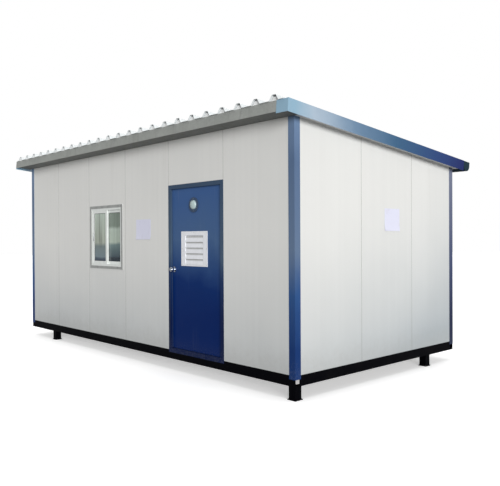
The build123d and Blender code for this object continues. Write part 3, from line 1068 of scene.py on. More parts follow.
BRIGHT_STEEL = BrushedMetal("bright_steel", colour=srgb(176, 178, 180), smoothness=0.32)
POLISHED = BrushedMetal("polished_plating", colour=srgb(214, 220, 230), smoothness=0.14)
BLUE = BluePaint("blue_enamel")
# Painted shade: a darker, greyer copy of the posts' blue for the rear posts.
REAR_BLUE = BluePaint(
    "rear_post_enamel",
    stops=((0.12, srgb(34, 42, 70)), (0.45, srgb(66, 76, 108)), (1.0, srgb(122, 128, 148))),
)
# Painted reflection at the pale front end, and painted shade that darkens the verge towards the rear.
VERGE_BLUE = BluePaint(
    "verge_enamel",
    stops=(
        (0.03, srgb(140, 172, 192)),
        (0.12, srgb(166, 182, 197)),
        (0.29, srgb(107, 133, 159)),
        (0.53, srgb(58, 94, 126)),
        (0.76, srgb(40, 66, 116)),
        (0.94, srgb(22, 36, 96)),
    ),
    ramp_axis=RampAxis.DEPTH,
    low=-1.75,
    high=1.75,
)
DOOR_BLUE = BluePaint(
    "door_enamel",
    stops=(
        (0.18, srgb(0, 34, 94)),
        (0.34, srgb(4, 42, 102)),
        (0.43, srgb(40, 70, 120)),
        (0.56, srgb(70, 98, 138)),
        (0.72, srgb(60, 92, 142)),
        (1.0, srgb(62, 96, 146)),
    ),
    specular=0.12,
)
JAMB_BLUE = BluePaint(
    "jamb_enamel",
    stops=(
        (0.15, srgb(2, 22, 66)),
        (0.38, srgb(24, 48, 90)),
        (0.5, srgb(70, 90, 112)),
        (1.0, srgb(46, 66, 92)),
    ),
)
SEALANT = PlainRubber("white_sealant", colour=srgb(206, 208, 206), bloom_colour=srgb(150, 150, 146))
RUBBER = PlainRubber("black_rubber")
DOOR_RUBBER = PlainRubber("door_rubber", colour=srgb(52, 66, 86), bloom_colour=srgb(86, 98, 112))


@dataclass
class CabinFinishes:
    """Which finish each node of the cabin wears."""

    dresser: Dresser
    skin: PanelSkin = PanelSkin("panel_skin")
    black: DarkPaint = DarkPaint("base_paint")
    zinc: ZincSheet = ZincSheet("zinc_sheet")
    roofing: RoofSkin = RoofSkin("roofing_skin")
    louvre: LouvreEnamel = LouvreEnamel("louvre_enamel", colour=srgb(236, 238, 243), grime=0.2)
    window_white: WhiteEnamel = WhiteEnamel("window_white", colour=srgb(228, 232, 229), grime=0.2)
    window_trim: BrushedMetal = BrushedMetal("window_trim_metal", colour=srgb(166, 168, 166), metal=0.2)
    hinge_steel: BrushedMetal = BrushedMetal("hinge_steel", colour=srgb(168, 168, 164), smoothness=0.36)
    ring_paint: DarkPaint = DarkPaint("port_ring_paint", colour=srgb(62, 80, 106), specular=0.2)
    board: DeckBoard = DeckBoard("deck_board_worn")
    gutter_paint: DarkPaint = DarkPaint("gutter_paint", colour=srgb(22, 46, 58), specular=0.2)
    # Painted reflection colours of each pane, by height.
    left_pane_stops: tuple[tuple[float, Colour], ...] = (
        (0.05, srgb(78, 90, 104)),
        (0.09, srgb(126, 142, 150)),
        (0.30, srgb(128, 142, 142)),
        (0.38, srgb(184, 192, 178)),
        (1.0, srgb(206, 220, 208)),
    )
    right_pane_stops: tuple[tuple[float, Colour], ...] = (
        (0.07, srgb(44, 56, 66)),
        (0.11, srgb(78, 94, 102)),
        (0.24, srgb(96, 116, 119)),
        (0.34, srgb(116, 138, 138)),
        (0.40, srgb(190, 204, 190)),
        (0.66, srgb(192, 206, 194)),
        (0.72, srgb(138, 152, 140)),
    )

    def apply(self) -> None:
        """Dresses every node."""
        d = self.dresser
        d.dress(d.starting("front_wall", "rear_wall", "left_wall", "right_wall", "roof_panels"), self.skin)
        d.dress(d.starting("corner_post_front"), BLUE)
        d.dress(d.starting("corner_post_rear"), REAR_BLUE)
        d.dress(d.starting("verge_flashing"), VERGE_BLUE)
        d.dress(["door_leaf"], DOOR_BLUE)
        d.dress(["door_frame"], JAMB_BLUE)
        d.dress(d.starting("base_", "feet"), self.black)
        d.dress(["floor_deck"], self.board)
        d.dress(["front_eave_trim", "roof_battens"], self.zinc)
        d.dress(["rear_gutter"], self.gutter_paint)
        d.dress(d.starting("roof_sheet"), self.roofing)
        d.dress(["door_louvre"], self.louvre)
        d.dress(d.starting("window_frame", "window_sash"), self.window_white)
        d.dress(["window_trim"], self.window_trim)
        d.dress(["window_glass_left"], self._pane("pane_left", self.left_pane_stops, 0.45))
        d.dress(["window_glass_right"], self._pane("pane_right", self.right_pane_stops, 0.18))
        d.dress(d.starting("door_knob"), POLISHED)
        d.dress(d.starting("door_hinges"), self.hinge_steel)
        d.dress(["door_port_ring"], self.ring_paint)
        d.dress(["door_port_lens"], FrostedLens("port_lens_frosted"))

    @staticmethod
    def _pane(name: str, stops: tuple[tuple[float, Colour], ...], fold_share: float) -> WindowPane:
        """Finish of one pane.

        Args:
            name: The finish's name.
            stops: Its painted reflection's colours by height.
            fold_share: How dark the painted shade of the curtain folds is.

        Returns:
            The finish.
        """
        low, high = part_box("window_glass_left")
        return WindowPane(name, stops=stops, fold_share=fold_share, low=low.z, high=high.z)


@dataclass
class Notices:
    """Two bare paper sheets, one on the front wall and one on the right-hand wall."""

    finishes: Finishes
    paper: BarePaper = BarePaper("bare_paper")
    thickness: float = 0.0006
    gap: float = 0.0006
    lift: float = 0.006
    lift_power: int = 3
    middle_lift_share: float = 0.4
    steps: int = 12
    front_middle_x: float = 0.369
    front_middle_z: float = 1.739
    front_width: float = 0.34
    front_height: float = 0.26
    side_middle_y: float = 0.143
    side_middle_z: float = 1.823
    side_width: float = 0.30
    side_height: float = 0.26

    def build(self) -> None:
        """Builds both sheets."""
        front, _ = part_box("front_wall_middle")
        middle = Vector((self.front_middle_x, front.y, self.front_middle_z))
        self._sheet("notice_front", middle, Vector((1, 0, 0)), self.front_width, self.front_height)
        _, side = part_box("right_wall_middle")
        middle = Vector((side.x, self.side_middle_y, self.side_middle_z))
        self._sheet("notice_side", middle, Vector((0, 1, 0)), self.side_width, self.side_height)

    def _sheet(self, name: str, middle: Vector, along: Vector, width: float, height: float) -> None:
        """Builds one sheet whose lower corners lift off the wall a little.

        Args:
            name: The piece's name.
            middle: Its middle, on the wall.
            along: Direction of its width.
            width: Its width.
            height: Its height.
        """
        mesh = Mesh(name)
        out = along.cross(Vector((0, 0, 1)))
        layers = []
        for face in (0, 1):
            grid = []
            for row in range(self.steps + 1):
                line = []
                for column in range(self.steps + 1):
                    u, v = column / self.steps - 0.5, row / self.steps - 0.5
                    lowness, sideness = max(0.0, -v * 2) ** self.lift_power, abs(u) * 2
                    rise = self.lift * lowness * (self.middle_lift_share + sideness) + self.gap
                    place = middle + along * (u * width) + Vector((0, 0, v * height))
                    line.append(mesh.bm.verts.new(place + out * (rise + self.thickness * face)))
                grid.append(line)
            layers.append(grid)
        for grid in layers:
            for row in range(self.steps):
                for column in range(self.steps):
                    corners = (grid[row][column], grid[row][column + 1])
                    corners += (grid[row + 1][column + 1], grid[row + 1][column])
                    mesh.bm.faces.new(corners)
        self._close_rim(mesh, layers)
        mesh.done(self.finishes.get(self.paper), "cabin")

    def _close_rim(self, mesh: Mesh, layers: list[list[list[bmesh.types.BMVert]]]) -> None:
        """Joins the two faces of a sheet around its rim.

        Args:
            mesh: The sheet's mesh.
            layers: Its back and front grids of corners.
        """
        last = self.steps
        rim = [(0, column) for column in range(last)] + [(row, last) for row in range(last)]
        rim += [(last, last - column) for column in range(last)] + [(last - row, 0) for row in range(last)]
        back, front = layers
        for (row, column), (next_row, next_column) in zip(rim, rim[1:] + rim[:1]):
            corners = (back[row][column], back[next_row][next_column])
            corners += (front[next_row][next_column], front[row][column])
            mesh.bm.faces.new(corners)


@dataclass
class RoofFrame:
    """The roof's own frame: X along the building, Y down the slope, Z square to it, zero at the soffit."""

    nodes: dict[str, bpy.types.Object]
    sheet_level: float = 0.100
    matrix: Matrix = field(init=False)
    slope: float = field(init=False)
    front: float = field(init=False)
    rear: float = field(init=False)
    half_length: float = field(init=False)

    def __post_init__(self) -> None:
        """Works the frame out from the walls and the roof's nodes."""
        front_low, front_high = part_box("front_wall_middle")
        rear_low, rear_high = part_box("rear_wall_panel_3")
        self.slope = math.atan((front_high.z - rear_high.z) / (rear_low.y - front_low.y))
        origin = Vector((0.0, front_low.y, front_high.z))
        self.matrix = Matrix.Translation(origin) @ Matrix.Rotation(-self.slope, 4, "X")
        self.front, self.rear = self.reach("roof_battens")
        _, panels_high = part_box("roof_panels")
        self.half_length = panels_high.x

    def reach(self, name: str) -> tuple[float, float]:
        """How far a node reaches up and down the slope.

        Args:
            name: The node.

        Returns:
            Its lowest and highest distance down the slope.
        """
        inverse = self.matrix.inverted()
        distances = [(inverse @ vertex.co).y for vertex in self.nodes[name].data.vertices]
        return min(distances), max(distances)

    def at(self, x: float, distance: float, height: float) -> Matrix:
        """Frame at a place on the roof.

        Args:
            x: Place along the building.
            distance: Place down the slope from the front wall's outer face.
            height: Height above the soffit.

        Returns:
            The frame's matrix, with its axes along the roof's.
        """
        return self.matrix @ Matrix.Translation((x, distance, height))


@dataclass
class RoofFittings:
    """What lies on and under the ribbed sheets: foam rib closures, screws, and the gutter's straps."""

    finishes: Finishes
    roof: RoofFrame
    foam: WhiteEnamel = WhiteEnamel(
        "closure_foam", colour=srgb(238, 240, 240), gloss=0.8, grime=0.4, grain=0.0008
    )
    sheet_count: int = 6
    ribs_per_sheet: int = 4
    rib_base: float = 0.110
    rib_crest: float = 0.050
    closure_height: float = 0.040
    closure_depth: float = 0.030
    closure_recess: float = 0.020
    closure_gap: float = 0.0005
    shoulder_share: float = 0.8
    shoulder_out: float = 0.006
    crown_in: float = 0.004
    batten_width: float = 0.050
    screw_share: float = 0.36
    screw_line_pitch: float = 0.8
    screw_seat: float = 0.002
    strap_pitch: float = 0.9
    strap_margin: float = 0.3
    strap_rounding: float = 0.0008
    strap_size: Point = (0.025, 0.142, 0.003)
    gutter_width: float = 0.150
    screw: Fastener = Fastener(radius=0.0055, height=0.0075, is_hexagonal=True)

    def build(self) -> None:
        """Builds closures, screws and straps."""
        self._closures()
        self._screws()
        self._straps()

    def _rib_places(self) -> list[float]:
        """Places of the ribs along the building.

        Returns:
            The ribs' middles.
        """
        places = []
        for index in range(self.sheet_count):
            low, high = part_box(f"roof_sheet_{index + 1}")
            pitch = (high.x - low.x) / self.ribs_per_sheet
            places += [low.x + pitch * (rib + 0.5) for rib in range(self.ribs_per_sheet)]
        return places

    def _closures(self) -> None:
        """Foam blocks in the ribs' ends, lower than the ribs, so that a dark crescent shows above them."""
        half_base, half_crest = self.rib_base / 2, self.rib_crest / 2
        shoulder = self.closure_height * self.shoulder_share
        outline = (
            (-half_base, 0.0),
            (half_base, 0.0),
            (half_crest + self.shoulder_out, shoulder),
            (half_crest - self.crown_in, self.closure_height),
            (-half_crest + self.crown_in, self.closure_height),
            (-half_crest - self.shoulder_out, shoulder),
        )
        mesh = Mesh("rib_closures")
        upright = Matrix.Rotation(math.radians(90), 4, "X")
        front, rear = self.roof.reach("roof_sheet_1")
        for start in (front + self.closure_recess + self.closure_depth, rear - self.closure_recess):
            for x in self._rib_places():
                place = self.roof.at(x, start, self.roof.sheet_level + self.closure_gap)
                mesh.prism(outline, self.closure_depth, place @ upright)
        mesh.done(self.finishes.get(self.foam), "cabin", smooth=False)

    def _screws(self) -> None:
        """Hexagonal screws with washers in the pans, over each batten."""
        mesh = Mesh("roof_screws")
        up = self.roof.matrix.to_3x3() @ Vector((0, 0, 1))
        places = self._rib_places()
        pitch = places[1] - places[0]
        level = self.roof.sheet_level + self.screw_seat
        lines = evenly(self.roof.front, self.roof.rear, self.screw_line_pitch, self.batten_width / 2)
        for distance in lines:
            for x in places:
                spot = self.roof.at(x + pitch * self.screw_share, distance, level)
                self.screw.add(mesh, spot.translation, up)
        mesh.done(self.finishes.get(BRIGHT_STEEL), "cabin")

    def _straps(self) -> None:
        """Flat straps across the gutter's mouth, under the ends of the sheets."""
        mesh = Mesh("gutter_straps")
        width, length, thickness = self.strap_size
        for x in evenly(-self.roof.half_length, self.roof.half_length, self.strap_pitch, self.strap_margin):
            height = self.roof.sheet_level - thickness
            place = self.roof.at(x, self.roof.rear + self.gutter_width / 2, height)
            mesh.block((width, length, thickness), place, self.strap_rounding)
        mesh.done(self.finishes.get(BRIGHT_STEEL), "cabin")


@dataclass
class FlashingFasteners:
    """Rivets along the corner posts, the verges and the eave trim."""

    finishes: Finishes
    roof: RoofFrame
    rivet: Fastener = Fastener(radius=0.0055, height=0.0028)
    post_pitch: float = 0.42
    post_margin: float = 0.10
    post_inset: float = 0.022
    verge_pitch: float = 0.45
    verge_margin: float = 0.07
    verge_inset: float = 0.028
    verge_top: float = 0.102
    eave_pitch: float = 0.52
    eave_margin: float = 0.15
    eave_rivet_height: float = 0.050

    def build(self) -> None:
        """Builds the rivets of each kind of flashing."""
        self._posts()
        self._verges()
        self._eave()

    def _posts(self) -> None:
        """Rivets up both flanges of the four corner posts."""
        for end, end_word, finish in ((Side.FRONT, "front", BLUE), (Side.REAR, "rear", REAR_BLUE)):
            mesh = Mesh(f"post_rivets_{end_word}")
            for side, side_word in ((Side.RIGHT, "right"), (Side.LEFT, "left")):
                low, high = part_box(f"corner_post_{end_word}_{side_word}")
                outer_x = high.x if side is Side.RIGHT else low.x
                outer_y = low.y if end is Side.FRONT else high.y
                inner_x = low.x + self.post_inset if side is Side.RIGHT else high.x - self.post_inset
                inner_y = high.y - self.post_inset if end is Side.FRONT else low.y + self.post_inset
                for z in evenly(low.z, high.z, self.post_pitch, self.post_margin):
                    self.rivet.add(mesh, (outer_x, inner_y, z), side.out)
                    self.rivet.add(mesh, (inner_x, outer_y, z), end.out)
            mesh.done(self.finishes.get(finish), "cabin")

    def _verges(self) -> None:
        """Rivets along the top flanges of both verges."""
        mesh = Mesh("verge_rivets")
        _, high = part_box("verge_flashing_right")
        up = self.roof.matrix.to_3x3() @ Vector((0, 0, 1))
        for side in (Side.RIGHT, Side.LEFT):
            for distance in evenly(self.roof.front, self.roof.rear, self.verge_pitch, self.verge_margin):
                place = self.roof.at(side.out.x * (high.x - self.verge_inset), distance, self.verge_top)
                self.rivet.add(mesh, place.translation, up)
        mesh.done(self.finishes.get(VERGE_BLUE), "cabin")

    def _eave(self) -> None:
        """Rivets along the face of the eave trim."""
        mesh = Mesh("eave_rivets")
        facing = self.roof.matrix.to_3x3() @ Vector((0, -1, 0))
        face, _ = self.roof.reach("front_eave_trim")
        for x in evenly(-self.roof.half_length, self.roof.half_length, self.eave_pitch, self.eave_margin):
            place = self.roof.at(x, face, self.eave_rivet_height)
            self.rivet.add(mesh, place.translation, facing)
        mesh.done(self.finishes.get(BRIGHT_STEEL), "cabin")


@dataclass
class DoorFittings:
    """Turned knob, domed lens, seal, and the screws of the louvre, the port and the frame."""

    finishes: Finishes
    neck_radius: float = 0.0115
    spindle_radius: float = 0.006
    neck_length: float = 0.022
    neck_step: float = 0.0005
    bulge_end: float = 0.006
    bulge_power: float = 0.62
    bulge_face_share: float = 0.52
    lip_height: float = 0.001
    lip_share: float = 0.50
    dish_share: float = 0.42
    knob_steps: int = 14
    knob_sides: int = 40
    key_radius: float = 0.0095
    key_face_share: float = 0.85
    key_bevel_recess: float = 0.003
    key_face_recess: float = 0.002
    keyhole_recess: float = 0.0021
    keyhole_size: Point = (0.0016, 0.0006, 0.009)
    keyhole_rounding: float = 0.0002
    lens_clearance: float = 0.001
    lens_rim_clearance: float = 0.0003
    lens_edge: float = 0.013
    lens_steps: int = 9
    lens_sides: int = 48
    seal_width: float = 0.008
    seal_depth: float = 0.0065
    seal_overlap: float = 0.010
    seal_gap: float = 0.0003
    seal_rounding: float = 0.002
    screw: Fastener = Fastener(radius=0.0045, height=0.002)
    ring_screw_count: int = 6
    louvre_screw_inset: float = 0.018
    jamb_width: float = 0.050
    jamb_pitch: float = 0.5
    jamb_margin: float = 0.18

    def build(self) -> None:
        """Builds everything on the door and its frame."""
        self._knob()
        self._lens()
        self._screws()
        self._seal()
        self._jamb_screws()

    def _knob(self) -> None:
        """Ball-shaped knobs with a flattened face and a key cylinder, on both sides of the leaf."""
        low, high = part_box("door_knob")
        leaf_low, leaf_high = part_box("door_leaf")
        middle = (low + high) / 2
        radius = (high.x - low.x) / 2
        reach = (high.y - low.y) / 2
        face = (leaf_high.y - leaf_low.y) / 2
        mesh = Mesh("knob_turned")
        bulge_low, bulge_high = face + self.neck_length, reach - self.bulge_end
        profile = [
            (self.spindle_radius, 0.0),
            (self.spindle_radius, face),
            (self.neck_radius, face + self.neck_step),
            (self.neck_radius, bulge_low),
        ]
        for step in range(1, self.knob_steps):
            angle = math.pi * step / self.knob_steps
            swell = math.sin(angle) ** self.bulge_power
            along = (1 - math.cos(angle)) / 2
            lean = self.neck_radius * (1 - along) + radius * self.bulge_face_share * along
            profile.append((lean + (radius - lean) * swell, bulge_low + (bulge_high - bulge_low) * along))
        key_face = reach - self.key_face_recess
        profile += [
            (radius * self.lip_share, bulge_high + self.lip_height),
            (radius * self.dish_share, bulge_high),
            (self.key_radius, bulge_high),
            (self.key_radius, reach - self.key_bevel_recess),
            (self.key_radius * self.key_face_share, key_face),
            (0.0, key_face),
        ]
        for facing in (Vector((0, -1, 0)), Vector((0, 1, 0))):
            mesh.lathe(profile, on_face(middle, facing), self.knob_sides)
        knob = mesh.done(self.finishes.get(POLISHED), "knob")
        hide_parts("door_knob")
        self._keyhole(middle, reach)

    def _keyhole(self, middle: Vector, reach: float) -> None:
        """Dark slot in the outer face of the key cylinder.

        Args:
            middle: The knob's middle.
            reach: Distance from there to its outer face.
        """
        mesh = Mesh("keyhole")
        place = Matrix.Translation(middle + Vector((0, self.keyhole_recess - reach, 0)))
        mesh.block(self.keyhole_size, place, self.keyhole_rounding)
        mesh.done(self.finishes.get(RUBBER), "knob")

    def _lens(self) -> None:
        """Domed lens in place of the bevelled one."""
        low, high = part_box("door_port_lens")
        leaf_low, leaf_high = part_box("door_leaf")
        radius = (high.x - low.x) / 2
        proud = leaf_low.y - low.y
        depth = leaf_high.y - leaf_low.y
        inner, edge = radius - self.lens_clearance, self.lens_edge
        mesh = Mesh("lens_domed")
        profile = [(0.0, -depth), (inner, -depth), (radius - self.lens_rim_clearance, edge)]
        for step in range(1, self.lens_steps):
            angle = math.pi / 2 * step / self.lens_steps
            profile.append((inner * math.cos(angle), edge + (proud - edge) * math.sin(angle)))
        profile.append((0.0, proud))
        centre = Vector(((low.x + high.x) / 2, leaf_low.y, (low.z + high.z) / 2))
        mesh.lathe(profile, on_face(centre, Side.FRONT.out), self.lens_sides)
        lens = mesh.done(self.finishes.get(FrostedLens("port_lens_frosted")), "door")
        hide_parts("door_port_lens")

    def _screws(self) -> None:
        """Screws in the port's ring and around the louvre's plate."""
        mesh = Mesh("door_screws")
        low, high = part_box("door_port_ring")
        lens_low, lens_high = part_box("door_port_lens")
        middle = (low + high) / 2
        ring_radius = ((high.x - low.x) + (lens_high.x - lens_low.x)) / 4
        for index in range(self.ring_screw_count):
            angle = math.tau * (index + 0.5) / self.ring_screw_count
            x = middle.x + ring_radius * math.cos(angle)
            z = middle.z + ring_radius * math.sin(angle)
            self.screw.add(mesh, (x, low.y, z), Side.FRONT.out)
        low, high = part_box("door_louvre")
        inset = self.louvre_screw_inset
        for x in evenly(low.x, high.x, (high.x - low.x) / 2, inset):
            self.screw.add(mesh, (x, low.y, high.z - inset), Side.FRONT.out)
        for x in (low.x + inset, high.x - inset):
            self.screw.add(mesh, (x, low.y, (low.z + high.z) / 2), Side.FRONT.out)
            self.screw.add(mesh, (x, low.y, low.z + inset), Side.FRONT.out)
        mesh.done(self.finishes.get(BRIGHT_STEEL), "door")

    def _seal(self) -> None:
        """Rubber strip on the frame's stop, which the closed leaf nearly meets."""
        low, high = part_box("door_frame")
        leaf_low, leaf_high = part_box("door_leaf")
        inner = self.jamb_width + self.seal_width / 2 - self.seal_overlap
        left, right = low.x + inner, high.x - inner
        top = high.z - inner
        bottom = leaf_low.z
        y = leaf_low.y - self.seal_depth / 2 - self.seal_gap
        mesh = Mesh("door_seal")
        for x in (left, right):
            place = Matrix.Translation((x, y, (bottom + top) / 2))
            mesh.block((self.seal_width, self.seal_depth, top - bottom), place, self.seal_rounding)
        place = Matrix.Translation(((left + right) / 2, y, top))
        mesh.block((right - left, self.seal_depth, self.seal_width), place, self.seal_rounding)
        mesh.done(self.finishes.get(DOOR_RUBBER), "cabin")

    def _jamb_screws(self) -> None:
        """Screws up both jambs of the frame."""
        mesh = Mesh("jamb_screws")
        low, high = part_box("door_frame")
        for x in (low.x + self.jamb_width / 2, high.x - self.jamb_width / 2):
            for z in evenly(low.z, high.z, self.jamb_pitch, self.jamb_margin):
                self.screw.add(mesh, (x, low.y, z), Side.FRONT.out)
        mesh.done(self.finishes.get(JAMB_BLUE), "cabin")


@dataclass
class WindowFittings:
    """Catch and pulls on the sashes, glazing gaskets, trim screws and the sealant around the trim."""

    finishes: Finishes
    trim_width: float = 0.035
    screw_pitch: float = 0.4
    gasket: float = 0.004
    gasket_rounding: float = 0.001
    stile: float = 0.038
    pull_plate: Point = (0.016, 0.004, 0.110)
    pull_plate_out: float = 0.001
    pull_grip: Point = (0.006, 0.008, 0.080)
    pull_grip_out: float = 0.003
    pull_rounding: float = 0.0015
    catch: Point = (0.020, 0.012, 0.060)
    catch_in: float = 0.006
    catch_rounding: float = 0.003
    screw: Fastener = Fastener(radius=0.004, height=0.002)
    bead: float = 0.005
    bead_rounding: float = 0.0015

    def build(self) -> None:
        """Builds the window's small parts."""
        self._catch()
        self._gaskets()
        self._trim()

    def _catch(self) -> None:
        """Pull on each outer stile and a catch where the sashes meet."""
        mesh = Mesh("window_pulls")
        left_low, left_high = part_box("window_sash_left")
        right_low, right_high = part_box("window_sash_right")
        z = (left_low.z + left_high.z) / 2
        spots = ((left_low.x + self.stile / 2, left_low.y), (right_high.x - self.stile / 2, right_low.y))
        for x, y in spots:
            place = Matrix.Translation((x, y - self.pull_plate_out, z))
            mesh.block(self.pull_plate, place, self.pull_rounding)
            place = Matrix.Translation((x, y - self.pull_grip_out, z))
            mesh.block(self.pull_grip, place, self.pull_rounding)
        place = Matrix.Translation((right_low.x + self.stile / 2, right_high.y + self.catch_in, z))
        mesh.block(self.catch, place, self.catch_rounding)
        mesh.done(self.finishes.get(BRIGHT_STEEL), "cabin")

    def _gaskets(self) -> None:
        """Dark glazing gaskets around both panes, on both faces."""
        mesh = Mesh("glazing_gaskets")
        for name in ("left", "right"):
            low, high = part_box(f"window_glass_{name}")
            middle = (low + high) / 2
            width, height = high.x - low.x, high.z - low.z
            for y in (low.y - self.gasket / 2, high.y + self.gasket / 2):
                for z in (low.z + self.gasket / 2, high.z - self.gasket / 2):
                    place = Matrix.Translation((middle.x, y, z))
                    mesh.block((width, self.gasket, self.gasket), place, self.gasket_rounding)
                for x in (low.x + self.gasket / 2, high.x - self.gasket / 2):
                    place = Matrix.Translation((x, y, middle.z))
                    mesh.block((self.gasket, self.gasket, height), place, self.gasket_rounding)
        mesh.done(self.finishes.get(RUBBER), "cabin")

    def _trim(self) -> None:
        """Screws in the trim, and a bead of sealant around its outer edge."""
        low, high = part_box("window_trim")
        _, wall_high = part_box("front_wall_window")
        screws = Mesh("trim_screws")
        inset = self.trim_width / 2
        for x in evenly(low.x, high.x, self.screw_pitch, inset):
            for z in (low.z + inset, high.z - inset):
                self.screw.add(screws, (x, low.y, z), Side.FRONT.out)
        screws.done(self.finishes.get(BRIGHT_STEEL), "cabin")
        bead = Mesh("window_sealant")
        middle = (low + high) / 2
        width, height = high.x - low.x, high.z - low.z
        y = high.y - self.bead / 2
        for z in (low.z - self.bead / 2, high.z + self.bead / 2):
            place = Matrix.Translation((middle.x, y, z))
            bead.block((width + self.bead * 2, self.bead, self.bead), place, self.bead_rounding)
        for x in (low.x - self.bead / 2, high.x + self.bead / 2):
            place = Matrix.Translation((x, y, middle.z))
            bead.block((self.bead, self.bead, height), place, self.bead_rounding)
        bead.done(self.finishes.get(SEALANT), "cabin")


@dataclass
class BaseWelds:
    """Weld beads around the tops of the feet and their sole plates."""

    finishes: Finishes
    black: DarkPaint = DarkPaint("base_paint")
    foot_size: float = 0.090
    sole_size: float = 0.110
    sole_thickness: float = 0.010
    second_foot_from_left: float = 0.800
    bead_radius: float = 0.004
    bead_pitch: float = 0.006
    bead_margin: float = 0.002
    bead_lift_share: float = 0.2
    bead_sides: int = 6
    bead_gap: float = 0.001

    def build(self) -> None:
        """Builds the beads."""
        mesh = Mesh("foot_welds")
        low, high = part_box("feet")
        for middle in self._middles(low, high):
            for z in (self.sole_thickness, high.z):
                self._ring(mesh, Vector((middle.x, middle.y, z)), z < high.z)
        mesh.done(self.finishes.get(self.black), "cabin")

    def _middles(self, low: Vector, high: Vector) -> list[Vector]:
        """Middles of the four feet, from the box around them.

        Args:
            low: The box's lowest corner.
            high: The box's highest corner.

        Returns:
            The middles, on the ground.
        """
        inset = self.sole_size / 2
        return [
            Vector((high.x - inset, low.y + inset, 0)),
            Vector((low.x + self.second_foot_from_left, low.y + inset, 0)),
            Vector((high.x - inset, high.y - inset, 0)),
            Vector((low.x + inset, high.y - inset, 0)),
        ]

    def _ring(self, mesh: Mesh, middle: Vector, is_low: bool) -> None:
        """Adds a ring of overlapping weld blobs around a foot.

        Args:
            mesh: The mesh that it joins.
            middle: The ring's middle.
            is_low: Whether it lies on the sole plate, or else under the rail.
        """
        half = self.foot_size / 2 + self.bead_gap
        offset = self.bead_radius * self.bead_lift_share * (1 if is_low else -1)
        blob = ((0.0, -self.bead_radius), (self.bead_radius, 0.0), (0.0, self.bead_radius))
        for start in evenly(-half, half, self.bead_pitch, self.bead_margin):
            for x, y in ((start, -half), (start, half), (-half, start), (half, start)):
                place = Matrix.Translation(middle + Vector((x, y, offset)))
                mesh.lathe(blob, place, self.bead_sides)


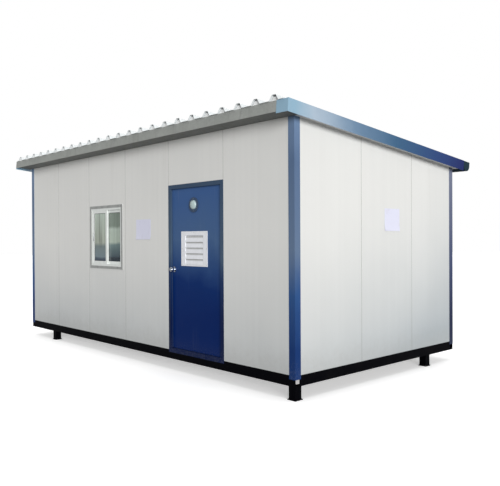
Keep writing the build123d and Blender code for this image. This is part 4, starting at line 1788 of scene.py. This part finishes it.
@dataclass
class Studio:
    """Camera at the photograph's angle, soft light and a plain pale floor."""

    camera_place: Point = (7.18, -5.97, 1.60)
    camera_azimuth: float = 47.05
    camera_elevation: float = -0.32
    camera_roll: float = -0.27
    lens: float = 44.3
    sensor_width: float = 36.0
    floor_reach: float = 60.0
    floor_dark: Colour = (0.86, 0.86, 0.86)
    floor_bright: Colour = (0.88, 0.88, 0.88)
    floor_roughness: float = 0.9
    key_direction: Point = (0.86, -0.49, 0.09)
    key_strength: float = 3.65
    key_angle: float = 28.0
    top_strength: float = 1.2
    top_angle: float = 40.0
    rear_direction: Point = (-0.66, 0.74, 0.12)
    rear_strength: float = 2.0
    rear_angle: float = 50.0
    ambient: float = 0.38
    floor_bounce: float = 0.30
    floor_glow: float = 0.45

    def build(self) -> None:
        """Builds camera, world, lights and floor."""
        self._camera()
        self._world()
        self._lights()
        self._floor()

    def _camera(self) -> None:
        """Places the camera."""
        azimuth, elevation = math.radians(self.camera_azimuth), math.radians(self.camera_elevation)
        level = math.cos(elevation)
        forward = Vector((-math.sin(azimuth) * level, math.cos(azimuth) * level, math.sin(elevation)))
        data = bpy.data.cameras.new("photo_camera")
        data.lens = self.lens
        data.sensor_width = self.sensor_width
        camera = bpy.data.objects.new("photo_camera", data)
        bpy.context.collection.objects.link(camera)
        turn = forward.to_track_quat("-Z", "Y").to_matrix().to_4x4()
        roll = Matrix.Rotation(math.radians(self.camera_roll), 4, "Z")
        camera.matrix_world = Matrix.Translation(self.camera_place) @ turn @ roll
        bpy.context.scene.camera = camera

    def _world(self) -> None:
        """White to the camera and through glass, and a plain soft level on everything else."""
        world = bpy.data.worlds.new("studio")
        bpy.context.scene.world = world
        world.use_nodes = True
        r = Recipe.of_tree(world.node_tree)
        path = r.node("ShaderNodeLightPath")
        seen = Wire(r, path.outputs["Is Camera Ray"]).at_least(Wire(r, path.outputs["Is Transmission Ray"]))
        level = self.ambient + seen * (1.0 - self.ambient)
        background = r.node("ShaderNodeBackground", None, {"Color": (1.0, 1.0, 1.0), "Strength": level})
        output = r.node("ShaderNodeOutputWorld")
        r.tree.links.new(background.outputs[0], output.inputs["Surface"])

    def _lights(self) -> None:
        """A broad low light from the right and the front, and weaker ones from above and from behind."""
        sources = (
            ("key", self.key_direction, self.key_strength, self.key_angle),
            ("top", (0.0, 0.0, 1.0), self.top_strength, self.top_angle),
            ("rear", self.rear_direction, self.rear_strength, self.rear_angle),
        )
        for name, direction, strength, angle in sources:
            data = bpy.data.lights.new(name, "SUN")
            data.energy = strength
            data.angle = math.radians(angle)
            light = bpy.data.objects.new(name, data)
            light.rotation_euler = (-Vector(direction)).to_track_quat("-Z", "Y").to_euler()
            bpy.context.collection.objects.link(light)

    def _floor(self) -> None:
        """A pale floor that keeps the cabin's shadow and runs into the white behind it."""
        data = bpy.data.meshes.new("studio_floor")
        reach = self.floor_reach
        corners = [(-reach, -reach, 0), (reach, -reach, 0), (reach, reach, 0), (-reach, reach, 0)]
        data.from_pydata(corners, [], [(0, 1, 2, 3)])
        floor = bpy.data.objects.new("studio_floor", data)
        bpy.context.collection.objects.link(floor)
        r = Recipe("pale_floor")
        grain = r.noise(3.0, detail=3.0)
        pale = r.tint(grain, self.floor_dark, self.floor_bright)
        bright = r.surface(pale, self.floor_roughness, Specular_IOR_Level=0.0)
        glow = r.node("ShaderNodeEmission", None, {"Color": (1.0, 1.0, 1.0), "Strength": self.floor_glow})
        both = r.node("ShaderNodeAddShader")
        r.tree.links.new(bright.outputs[0], both.inputs[0])
        r.tree.links.new(glow.outputs[0], both.inputs[1])
        bounce = (self.floor_bounce, self.floor_bounce, self.floor_bounce)
        dim = r.surface(bounce, self.floor_roughness, Specular_IOR_Level=0.0)
        path = r.node("ShaderNodeLightPath")
        seen = Wire(r, path.outputs["Is Camera Ray"])
        mix = r.node("ShaderNodeMixShader", None, {0: seen})
        r.tree.links.new(dim.outputs[0], mix.inputs[1])
        r.tree.links.new(both.outputs[0], mix.inputs[2])
        data.materials.append(r.close(mix))


def main() -> None:
    """Builds the cabin's looks in order."""
    logging.basicConfig(level=logging.INFO, format="%(name)s %(message)s")
    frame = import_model()
    bpy.context.scene.view_settings.view_transform = "Standard"
    finishes = Finishes()
    CabinFinishes(Dresser(frame["nodes"], finishes)).apply()
    roof = RoofFrame(frame["nodes"])
    RoofFittings(finishes, roof).build()
    FlashingFasteners(finishes, roof).build()
    DoorFittings(finishes).build()
    WindowFittings(finishes).build()
    BaseWelds(finishes).build()
    Notices(finishes).build()
    Studio().build()


if __name__ == "__main__":
    main()
